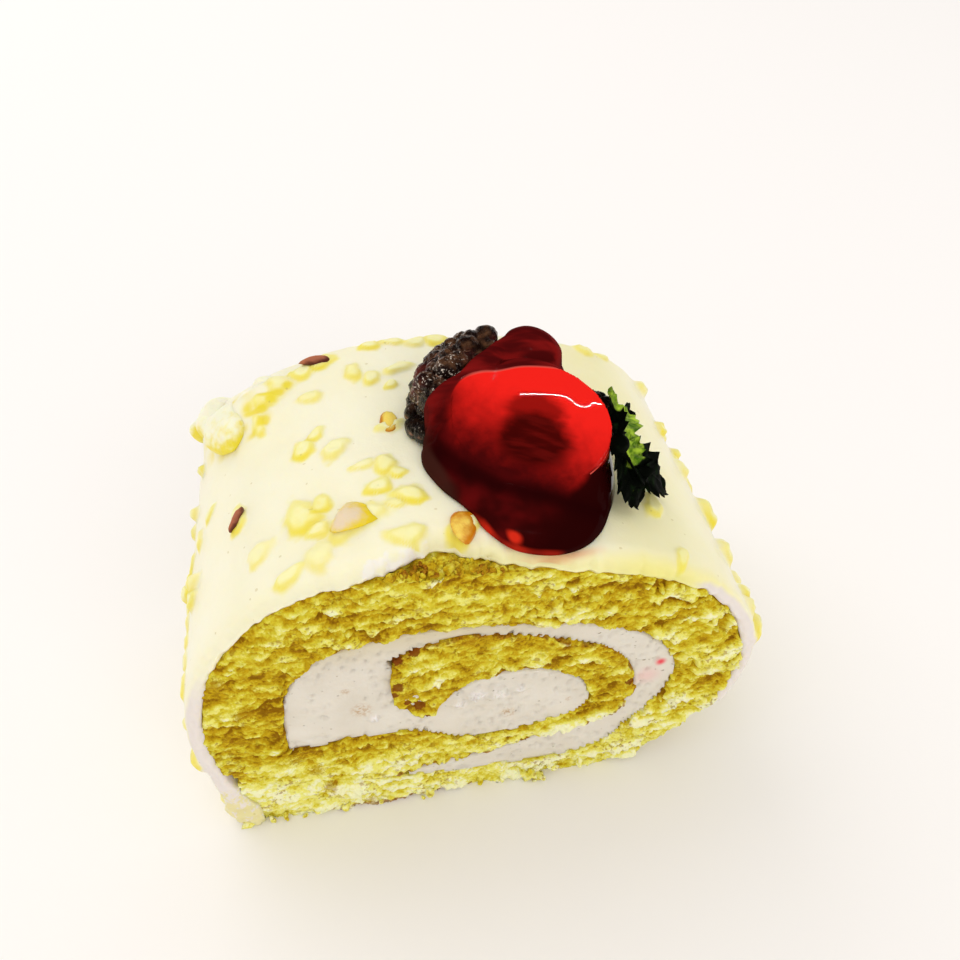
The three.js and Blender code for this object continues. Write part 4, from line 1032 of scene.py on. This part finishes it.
# u runs lengthwise, v across the cut face and w out of it, each from -1 to 1.
ways = sphere_ways(200, 260)
u, v, w = ways[..., 0], ways[..., 1], ways[..., 2]
shoulder = 1 + 0.14 * u - 0.1 * u * u
girth = np.arctan2(w, v) * HALF_WIDTH
pip, _ = grains(u * half_length * 1.1 + 0.5 * girth, girth, 2.5, 130)
skin = np.clip(-w * 4, 0, 1)
dimple = skin * (0.35 * np.exp(-(pip / 0.3) ** 2) - 0.28 * np.exp(-(pip / 0.13) ** 2))
rise = np.where(w > 0, CROWN, FRUIT_DEPTH * shoulder - dimple)
fruit = (fruit_middle + lengthwise * (half_length - dimple)[..., None] * u[..., None]
         + crosswise * ((HALF_WIDTH * shoulder - dimple) * v)[..., None]
         + face_normal * (rise * w)[..., None])
strawberry = carried("strawberry", laid(fruit), pip=skin * np.clip(1 - pip / 0.2, 0, 1),
                     face=np.clip(w * 6, 0, 1))

strawberry_finish = Finish("strawberry")
tone = strawberry_finish.speckle(2.0, 3.0)
colour = strawberry_finish.blend((168, 14, 14), (216, 30, 22), tone)
colour = strawberry_finish.blend(colour, (236, 92, 74), strawberry_finish.mark("face"))
colour = strawberry_finish.blend(colour, (222, 186, 96), strawberry_finish.mark("pip").rise(0.2, 0.5))
strawberry.data.materials.append(strawberry_finish.close(
    base_color=colour, roughness=0.3, normal=strawberry_finish.bump(tone, 0.1), specular_ior_level=0.4))
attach(strawberry, "root")
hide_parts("strawberry")

# ---- the dark berries ----
# Three ripe bramble fruits lying on the icing: each a core set all over with round beads of dark juice.

BEAD = 1.9
FILM = 0.22  # how far the clear film rounds off the creases between beads
# Each berry: its name, its middle, half its length and thickness, where it points from +X, and its facets.
BERRIES = [("dark_berry_left", (3.4, 5.2, 65.4), (10.6, 5.9), 46, 300),
           ("dark_berry_back", (13.2, 7.4, 63.5), (6.0, 5.4), 20, 220),
           ("dark_berry_right", (23.8, 3.0, 56.8), (8.2, 3.6), 121, 200)]

berry_finish = Finish("dark berry")
tone = berry_finish.speckle(1.6, 3.0)
fleck = berry_finish.speckle(0.42, 2.0, roughness=0.7)
crease = berry_finish.mark("crease")
# Nearly black beads, here and there red. Painted light makes them browner in patches on each bead's top,
# painted highlights draw pale outlines and sparkles on their upper part, and below that painted shade keeps
# them nearly black.
creased = tone.rise(0.4, 0.7) * (crease * 0.8 + 0.2)
colour = berry_finish.blend((30, 12, 8), (96, 62, 38), creased.limited())
reddish = berry_finish.speckle(5.0, 1.0, shift=0.2).rise(0.55, 0.75)
colour = berry_finish.blend(colour, (110, 12, 20), reddish * 0.6)
# Painted highlight: a pale ring round each bead, near its creases.
outline = crease.rise(0.12, 0.24) * (1 - crease.rise(0.24, 0.42))
colour = berry_finish.blend(colour, (168, 120, 96), outline * tone.rise(0.4, 0.6) * 0.75)
# Below the lit part, painted shade makes all but the pale rings nearly black.
lit_part = berry_finish.axis("Z").rise(61.5 * MM, 65 * MM)
colour = berry_finish.blend(berry_finish.blend((14, 5, 4), colour, outline), colour, lit_part)
sparkle = fleck.rise(0.58, 0.66) * berry_finish.speckle(4.0, 1.0, shift=0.5).rise(0.38, 0.56) * lit_part
colour = berry_finish.blend(colour, (220, 206, 190), sparkle)
berry_material = berry_finish.close(
    base_color=colour, roughness=0.3, specular_ior_level=0.3, coat_weight=0.3, coat_roughness=0.08,
    normal=berry_finish.bump(fleck * 1.2 + tone * 0.6, 0.4))

# In each direction from its middle, a berry reaches to the farthest of its beads and its core, which a soft
# maximum melts together, and it is creased where two of them reach about as far.
for name, middle, (half_long, half_thick), points_to, sides in BERRIES:
    rows = round(half_long / BEAD * 1.15)
    beads = []
    for row in range(rows):
        share = 1.8 * (row + 0.5) / rows - 0.9
        ring = np.sqrt(1 - share * share) * (half_thick - BEAD * 0.8)
        count = max(round(2 * np.pi * ring / (BEAD * 1.5)), 1)
        turn = 2 * np.pi * (np.arange(count) + 0.5 * (row % 2)) / count
        beads.append(np.stack([np.full(count, share * (half_long - BEAD * 0.8)), ring * np.cos(turn),
                               ring * np.sin(turn)], -1))
    beads = np.vstack(beads)
    draw = np.random.default_rng(sides)
    beads = beads + draw.normal(size=beads.shape) * 0.28
    plump = BEAD * draw.uniform(0.8, 1.06, len(beads))
    ways = sphere_ways(round(sides * 0.8), sides)
    core = 0.86 / np.hypot(ways[..., 0] / half_long, np.hypot(ways[..., 1], ways[..., 2]) / half_thick)
    ahead = ways @ beads.T
    inside = plump ** 2 - (beads ** 2).sum(1) + ahead ** 2
    reaches = np.where(inside > 0, ahead + np.sqrt(np.maximum(inside, 0)), 0)
    fine = np.moveaxis(ways * half_long, -1, 0)
    rough = 0.2 * noise(*(fine / 1.1)) + 0.12 * noise(*(fine / 0.5))
    ordered = np.sort(reaches, -1)
    reach = FILM * np.log(np.exp(ordered[..., -3:] / FILM).sum(-1) + np.exp(core / FILM))
    # The mark that the finish paints as light is low in these creases and high on each bead's top.
    between = np.clip((reach - np.maximum(ordered[..., -2], core)) / 0.5, 0, 1)
    local = ways * (reach + rough)[..., None]
    c, s = np.cos(np.radians(points_to)), np.sin(np.radians(points_to))
    turned = local @ np.array([[c, s, 0], [-s, c, 0], [0, 0, 1]]) + np.array(middle)
    berry = carried(name, laid(turned), crease=between)
    berry.data.materials.append(berry_material)
    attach(berry, "root")
    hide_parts(name)

# Beads that hang together at the left berry's foot: x, y, z and size.
FOOT_BEADS = [
    (-2.6, 7.6, 62.4, 1.9), (-3.6, 5.0, 61.8, 1.9), (-4.1, 2.4, 61.5, 1.9), (-4.4, -0.4, 61.2, 2.0),
    (-3.4, -2.2, 61.4, 1.8), (-2.4, 1.0, 62.8, 2.0), (-2.0, 4.4, 63.4, 2.0)]
beads = []
for x, y, z, size in FOOT_BEADS:
    rough = 0.12 * noise(*(BALL_POINTS.T * 1.6 + y)) + 0.06 * noise(*(BALL_POINTS.T * 4 + y))
    beads.append(laid(np.array([x, y, z]) + BALL_POINTS * size * (1 + rough)[:, None]))
# Each bead is painted lighter towards its top.
bead_crease = np.clip(BALL_POINTS[:, 2] * 0.5 + 0.2, 0, 1)
foot_beads = new_lumps("dark_berry_foot_beads", beads, crease=[bead_crease] * len(beads))
foot_beads.data.materials.append(berry_material)
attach(foot_beads, "root")
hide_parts("dark_berry_left")

# ---- the leaves ----
# The strawberry's calyx: thin toothed leaves that spread from its stalk end, painted bright green where
# light falls on them above, and painted nearly black as shade where they hang in their own shadow.

# Each leaf: where its tip is, and its width.
LEAVES = [(24.6, -3.4, 66.4, 2.8), (29.6, 1.3, 58.6, 4.2), (28.4, -10.4, 56.4, 4.6), (32.8, -10.8, 50, 7.0),
          (26.2, -16.2, 53.3, 7.4), (31.4, -8.8, 52.4, 2.8)]
# Where the leaves are painted bright green as lit, and not nearly black as painted shade: a place and how
# far round it.
FRESH_SPOTS = [(24.8, -3.8, 65.0, 3.6), (26.4, -4.4, 61.2, 5.8), (25.4, -10.6, 60.4, 4.0)]
LEAF_FACING = (0.3, -0.4, 0.85)
LEAF_THICKNESS = 0.5
LEAF_FOLD, LEAF_WAVE = 0.25, 0.3
LEAF_TEETH = 6.0

leaf_finish = Finish("leaf")
tone = leaf_finish.speckle(1.5, 3.0)
vein = leaf_finish.mark("vein")
fresh_share = 0.0
for *at, radius in FRESH_SPOTS:
    away = leaf_finish.add("ShaderNodeVectorMath", {"operation": "DISTANCE"}, {
        0: leaf_finish.place, 1: tuple(v * MM for v in at)}, "Value")
    fresh_share = (1 - away.rise(radius * 0.5 * MM, radius * MM)) + fresh_share
patchy = leaf_finish.speckle(1.6, 1.0, shift=0.3) - 0.5
fresh_share = (fresh_share + patchy * 1.2).rise(0.3, 0.6)
# Painted light and shade: bright green where lit, nearly black where shaded.
fresh = leaf_finish.blend((64, 104, 12), (176, 206, 60), tone.rise(0.3, 0.7))
shaded = leaf_finish.blend((3, 7, 1), (16, 38, 6), tone.rise(0.5, 0.8))
colour = leaf_finish.blend(shaded, fresh, fresh_share)
colour = leaf_finish.blend(colour, (190, 210, 120), vein * 0.35 * fresh_share)
leaf_material = leaf_finish.close(
    base_color=colour, roughness=0.7, specular_ior_level=0.06, normal=leaf_finish.bump(tone + vein, 0.2))

# A leaf is a sheet along a bowed rib from the stalk to its tip, folded up along the rib and waved, with a
# saw of teeth down its sides. Where it would lie in the icing it is lifted onto it.
stalk = STALK_END + lengthwise * 0.9
for n, (tip_x, tip_y, tip_z, width) in enumerate(LEAVES):
    tip = np.array([tip_x, tip_y, tip_z])
    bow = (stalk + tip) / 2 + lengthwise * 0.9
    along = np.linspace(0, 1, 110)[:, None]
    across = np.r_[np.linspace(-1, 1, 25), np.linspace(1, -1, 25)[1:-1]][None, :]
    top = np.r_[np.ones(25), -np.ones(23)][None, :]
    rib = (1 - along) ** 2 * stalk + 2 * along * (1 - along) * bow + along ** 2 * tip
    out = (tip - stalk) / np.linalg.norm(tip - stalk)
    side = np.cross(LEAF_FACING, out)
    side /= np.linalg.norm(side)
    face = np.cross(out, side)
    saw = along * LEAF_TEETH + 0.35 * across
    saw = saw - np.floor(saw)
    teeth = 1 + 0.42 * np.abs(across) ** 2 * (saw ** 1.4 - 0.55)
    blade = width / 2 * np.sin(np.pi * (0.12 + 0.86 * along)) ** 0.8 * teeth
    veins = np.abs(((along * LEAF_TEETH - 1.1 * np.abs(across)) % 1) - 0.5) * 2
    lift = (LEAF_FOLD * blade * across ** 2 + LEAF_WAVE * np.sin(9 * along + 2 * across + tip_x)
            + 0.22 * np.sin(21 * along + 5 * across + n) * np.abs(across) - 0.12 * veins ** 6)
    sheet = rib[:, None, :] + side * (blade * across)[..., None] + face * lift[..., None]
    floor = icing_top(sheet[..., 0], sheet[..., 1]) + CLEARANCE + LEAF_THICKNESS
    sheet[..., 2] = np.maximum(sheet[..., 2], floor)
    thin = LEAF_THICKNESS / 2 * (1 - 0.6 * np.abs(across) ** 3)
    one = carried(f"strawberry_leaf_{n + 1}", sheet + face * (top * thin)[..., None],
                  vein=np.maximum(veins ** 8, np.clip(1 - np.abs(across) * 9, 0, 1)) * (top > 0))
    one.data.materials.append(leaf_material)
    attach(one, "root")
    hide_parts("strawberry_leaves")
button_ways = sphere_ways(30, 40)
button = carried("strawberry_calyx_button", STALK_END + lengthwise * 1.2 + button_ways * 1.5,
                 vein=0 * button_ways[..., 0])
button.data.materials.append(leaf_material)
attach(button, "root")
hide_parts("strawberry_leaves")

# ---- the glaze ----
# Red jelly glaze, poured over the strawberry and the berries while warm. It lies thin and clear over the cut
# face, which shows bright red through it with a painted dark reflection in its middle, and looks nearly
# black where it has pooled.

# Its edge round its middle: the angle from +X and how far it reaches there.
GLAZE_EDGE = [
    (0, 13.6), (20, 13.3), (36, 15.2), (48, 17.6), (60, 20.4), (72, 20.8), (81, 17.4), (90, 13.2),
    (106, 10.2), (125, 9.2), (145, 9.3), (160, 11.5), (170, 13.7), (185, 14.7), (208, 14.5), (229, 14.9),
    (246, 18), (258, 20.3), (272, 20.8), (285, 20), (299, 18.2), (316, 16.1), (338, 15.1)]
GLAZE, DOME, POOL = 1.2, 0.9, 3.2  # its depth on the cut, how much more in the middle, and on the icing
FALL = 10.0  # how steeply it goes down past the cut's rim
BEAD_RISE = 0.7  # how far beads stand out of a berry's rounded form
MELT = 0.7  # over which its parts flow into one another
NOWHERE = -99.0  # the height of what isn't there
GLAZE_AROUND, GLAZE_ROWS = 440, 112
# The outline of the bright face in the plane of the cut, lengthwise and crosswise, and the ovals of the
# painted dark reflection on it.
FACE_EDGE = [
    (-12.4, -2.4), (-11, 2.6), (-8.2, 5.5), (-5.4, 6.9), (-2.8, 8), (2.7, 9), (5.5, 9.1), (9.1, 8.1),
    (11, 5.4), (12.4, 2.9), (13.2, 0), (13.6, -2.8), (13, -5.5), (11.4, -8.4), (8.7, -9.6), (3, -9.9),
    (-2, -10.1), (-6, -8.6), (-9.8, -7), (-12.2, -5)]
# The painted dark reflection's lower and darker oval, and the fainter one above it: the middle and half the
# size of each.
CORE_OVALS = [((1.0, -3.4), (6.5, 4.7)), ((0.4, 1.0), (5.0, 3.2))]


def mound(middle, half, points_to, extra, x, y):
    """The height of a berry's rounded form over a place, made bigger by extra all round."""
    dx, dy = x - middle[0], y - middle[1]
    c, s = np.cos(np.radians(points_to)), np.sin(np.radians(points_to))
    apart = np.hypot((dx * c + dy * s) / (half[0] + extra), (dy * c - dx * s) / (half[1] + extra))
    top = middle[2] + (half[1] + extra) * np.sqrt(np.maximum(1 - apart ** 2, 0))
    return np.where(apart < 1, top, NOWHERE)


def on_face(x, y):
    """The height of the face's plane over a place, and the place's two lengths in that plane."""
    dx, dy = x - fruit_middle[0], y - fruit_middle[1]
    dz = -(dx * face_normal[0] + dy * face_normal[1]) / face_normal[2]
    along = dx * lengthwise[0] + dy * lengthwise[1] + dz * lengthwise[2]
    across = dx * crosswise[0] + dy * crosswise[1] + dz * crosswise[2]
    return fruit_middle[2] + dz, along, across


def depth_inside(outline, u, v):
    """The distance to a smooth outline through the points, in millimetres: above 0 inside it."""
    knots = np.array(outline + outline[:3], float)
    line = smooth_line(knots, 8)[8:-8]
    nearest = np.full(np.shape(u), 99.0)
    crossings = np.zeros(np.shape(u), int)
    for (ax, ay), (bx, by) in zip(line[:-1], line[1:]):
        length = max((bx - ax) ** 2 + (by - ay) ** 2, 1e-9)
        t = np.clip(((u - ax) * (bx - ax) + (v - ay) * (by - ay)) / length, 0, 1)
        nearest = np.minimum(nearest, np.hypot(u - ax - t * (bx - ax), v - ay - t * (by - ay)))
        if by != ay:
            crossings += ((ay > v) != (by > v)) & (u < (bx - ax) * (v - ay) / (by - ay) + ax)
    return np.where(crossings % 2 == 1, nearest, -nearest)


edge_angle, edge_reach = np.array(GLAZE_EDGE + GLAZE_EDGE[:3]).T
edge_way = np.stack([np.cos(np.radians(edge_angle)), np.sin(np.radians(edge_angle))], -1)
edge_knots = edge_reach[:, None] * edge_way
edge_line = smooth_line(edge_knots, 40)[40:-40]
edge_run = np.r_[0, np.cumsum(np.linalg.norm(np.diff(edge_line, axis=0), axis=1))]
even = np.linspace(0, edge_run[-1], GLAZE_AROUND, endpoint=False)
edge = np.stack([np.interp(even, edge_run, edge_line[:, k]) for k in (0, 1)], -1)
share = np.linspace(0.004, 1, GLAZE_ROWS) ** 0.85  # of the way out to the edge
x = GLAZE_MIDDLE[0] + share[:, None] * edge[None, :, 0]
y = GLAZE_MIDDLE[1] + share[:, None] * edge[None, :, 1]
(_, left_middle, left_half, left_turn, _), (_, back_middle, back_half, back_turn, _) = BERRIES[:2]
floor = icing_top(x, y) + CLEARANCE
plane, along_face, across_face = on_face(x, y)
apart = np.hypot(along_face / half_length, across_face / HALF_WIDTH)
past = np.clip((apart - 0.98) / 0.42, 0, 1)
face_cover = plane + GLAZE + DOME * (1 - np.minimum(apart, 1) ** 2) - FALL * (1 - np.sqrt(1 - past ** 2))
left_cover = mound(left_middle, left_half, left_turn, BEAD_RISE + GLAZE, x, y)
back_cover = mound(back_middle, back_half, back_turn, BEAD_RISE + GLAZE, x, y)
# A soft maximum joins the pool on the icing, the cut face and the two mounds over the berries.
covers = np.stack([floor + POOL, face_cover, left_cover, back_cover])
top = floor + MELT * np.log(np.exp((covers - floor) / MELT).sum(0))
rounded = np.sqrt(1 - 0.97 * share ** 5)[:, None]
berry_skin = np.maximum(mound(left_middle, left_half, left_turn, BEAD_RISE, x, y),
                        mound(back_middle, back_half, back_turn, BEAD_RISE, x, y))
under = np.maximum(np.maximum(floor, np.where(apart < 1, plane + CROWN + 0.1, NOWHERE)), berry_skin)
top = under + (top - under) * rounded
slump = np.exp(-((along_face - 6.6) / 1.9) ** 2) * np.tanh((across_face - 3) / 3)
top = top - 0.1 * slump * np.clip((1 - apart) / 0.2, 0, 1) * rounded
off_face = np.clip((apart - 0.9) / 0.3, 0, 1) + 0.5 * np.clip(-(along_face + 3) / 6, 0, 1)
top = top + (0.016 + 0.05 * np.minimum(off_face, 1)) * noise(x / 5.2, y / 5.2, 21.5) * rounded
bed = np.maximum(np.maximum(floor, np.where(apart < 1, plane + CROWN, NOWHERE)), berry_skin)
bed = np.minimum(bed, top - 0.12)
upper = np.stack([x, y, top], -1)
lower = np.stack([x, y, bed], -1)[::-1]

# What the finish reads: the bright face and the painted dark reflection on it, where the glaze has fallen
# below the cut's plane, the thin rim in front with its painted glow and a drop's painted highlight on it,
# and the dull rim at the left.
face_depth = depth_inside(FACE_EDGE, along_face, across_face)
low_core, high_core = (1 - np.hypot((along_face - middle[0]) / half[0], (across_face - middle[1]) / half[1])
                       for middle, half in CORE_OVALS)
round_angle = np.degrees(np.arctan2(edge[:, 1], edge[:, 0]))[None, :] % 360
at_edge = np.clip((share[:, None] - 0.84) / 0.16, 0, 1)
fallen = np.clip((plane + GLAZE - top) / 1.5, 0, 1)
# The thin front rim is painted glowing bright red, as light through it, with a painted highlight of a drop
# on it.
wide = 0.03 * np.exp(-((round_angle - 238) / 10) ** 2)
thin = np.clip((share[:, None] - 0.966 + wide) / (0.03 + wide), 0, 1)
thin = thin * np.clip(1.6 - np.abs(round_angle - 258) / 26, 0, 1)
thin = thin * (0.75 + 0.35 * noise(round_angle / 6, 1.5, 0.5))
drop = np.exp(-((share[:, None] - 0.95) / 0.045) ** 2) * np.exp(-((round_angle - 257) / 4) ** 2)
glow = np.maximum(0.8 * thin, drop)
rim = at_edge * np.exp(-((round_angle - 195) / 24) ** 2)


def both(values):
    """A mark for the upper side, and the same from the edge back in for the lower one."""
    return np.vstack([values, values[::-1]])


glaze = carried("red_glaze_shell", np.vstack([upper, lower]), face=both(face_depth),
                low_core=both(low_core), high_core=both(high_core), glow=both(glow), rim=both(rim),
                fallen=both(fallen), along=both(along_face), across=both(across_face))

glaze_finish = Finish("red glaze")
along_mark, across_mark = glaze_finish.mark("along"), glaze_finish.mark("across")
cloud = glaze_finish.speckle(5.0, 2.0)
mottle = glaze_finish.speckle(1.8, 3.0, shift=0.6)
folds = glaze_finish.speckle(3.0, 2.0, stretch=(0.35, 1.4, 1))
# Fibres that run lengthwise over the cut, in its own plane.
in_plane = glaze_finish.add("ShaderNodeCombineXYZ", {}, {"X": along_mark, "Y": across_mark})
in_plane = glaze_finish.add("ShaderNodeMapping", {}, {"Vector": in_plane, "Scale": (0.16, 0.75, 1)})
fibres = glaze_finish.add("ShaderNodeTexNoise", {}, {"Vector": in_plane, "Scale": 1.0, "Detail": 2.0}, "Fac")

# The pooled glaze: nearly black, redder at the rear, and darkest in the shadow below the bright face.
body = glaze_finish.blend((50, 6, 6), (90, 11, 12), cloud.rise(0.35, 0.7))
body = glaze_finish.blend(body, (38, 4, 4), (along_mark * 0.6 - across_mark * 0.2).rise(3.0, 8.0))
rear = glaze_finish.blend((72, 10, 11), (122, 20, 19), folds.rise(0.35, 0.65))
body = glaze_finish.blend(body, rear, (across_mark - along_mark * 0.45).rise(1.0, 7.0))
face = glaze_finish.mark("face")
below = 1 - across_mark.rise(-6.0, -2.0)
shadow = face.rise(-4.5, -1.0) * (1 - face.rise(-0.4, 1.6)) * below
body = glaze_finish.blend(body, (34, 3, 4), shadow * 0.85)

# The bright face, brighter upward, with a painted dark reflection on it in two ovals. It ends sharply above,
# and fades into the glaze below.
ripe = (along_mark * 0.22 + across_mark + (mottle - 0.5) * 5.0).rise(-9.5, 4.0)
bright = glaze_finish.blend((64, 7, 8), (241, 35, 28), ripe)
stringy = (fibres - 0.5) * 0.35 + (mottle - 0.5) * 0.3
high_core = (glaze_finish.mark("high_core") + stringy * 1.3).rise(-0.1, 0.4)
low_core = (glaze_finish.mark("low_core") + stringy).rise(-0.05, 0.4)
bright = glaze_finish.blend(bright, (136, 16, 12), high_core * 0.9)
core_colour = glaze_finish.blend((52, 5, 4), (84, 11, 9), fibres.rise(0.4, 0.65))
bright = glaze_finish.blend(bright, core_colour, low_core * 0.95)
upper_edge = across_mark.rise(-1.0, 3.0)
inside = face.rise(-0.1, 0.15) * upper_edge + (face - (cloud - 0.5) * 1.6).rise(-0.8, 1.8) * (1 - upper_edge)
upright = 1 - glaze_finish.mark("fallen").rise(0.3, 0.9)
body = glaze_finish.blend(body, bright, inside * upright)

# A painted pink highlight along its upper outline, a pale painted rim light at the stalk end, the painted
# glow of the thin rim in front, and the dull rim.
just_outside = upright * face.rise(-0.3, -0.05)
crisp = just_outside * (1 - face.rise(0.0, 0.28)) * across_mark.rise(2.0, 5.0)
body = glaze_finish.blend(body, (232, 96, 84), crisp * 0.55)
stalk_end = along_mark.rise(10.5, 12.0) * across_mark.rise(-4.0, -1.0)
cheek = just_outside * (1 - face.rise(0.0, 0.25)) * stalk_end
body = glaze_finish.blend(body, (238, 196, 140), cheek * 0.8)
glow = (glaze_finish.mark("glow") - (cloud - 0.5) * 0.8).rise(0.3, 0.95)
body = glaze_finish.blend(body, (206, 42, 24), glow)
body = glaze_finish.blend(body, (58, 28, 22), glaze_finish.mark("rim").rise(0.1, 0.5) * 0.9)
wet = face.rise(-0.6, 0.2) * across_mark.rise(-5.0, -2.0) * along_mark.rise(-9.0, -6.0)
glaze_material = glaze_finish.close(
    base_color=body, roughness=0.4, specular_ior_level=0.0,
    coat_weight=wet * 0.97 + 0.03, coat_roughness=0.02)
glaze.data.materials.append(glaze_material)
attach(glaze, "root")
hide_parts("red_glaze")
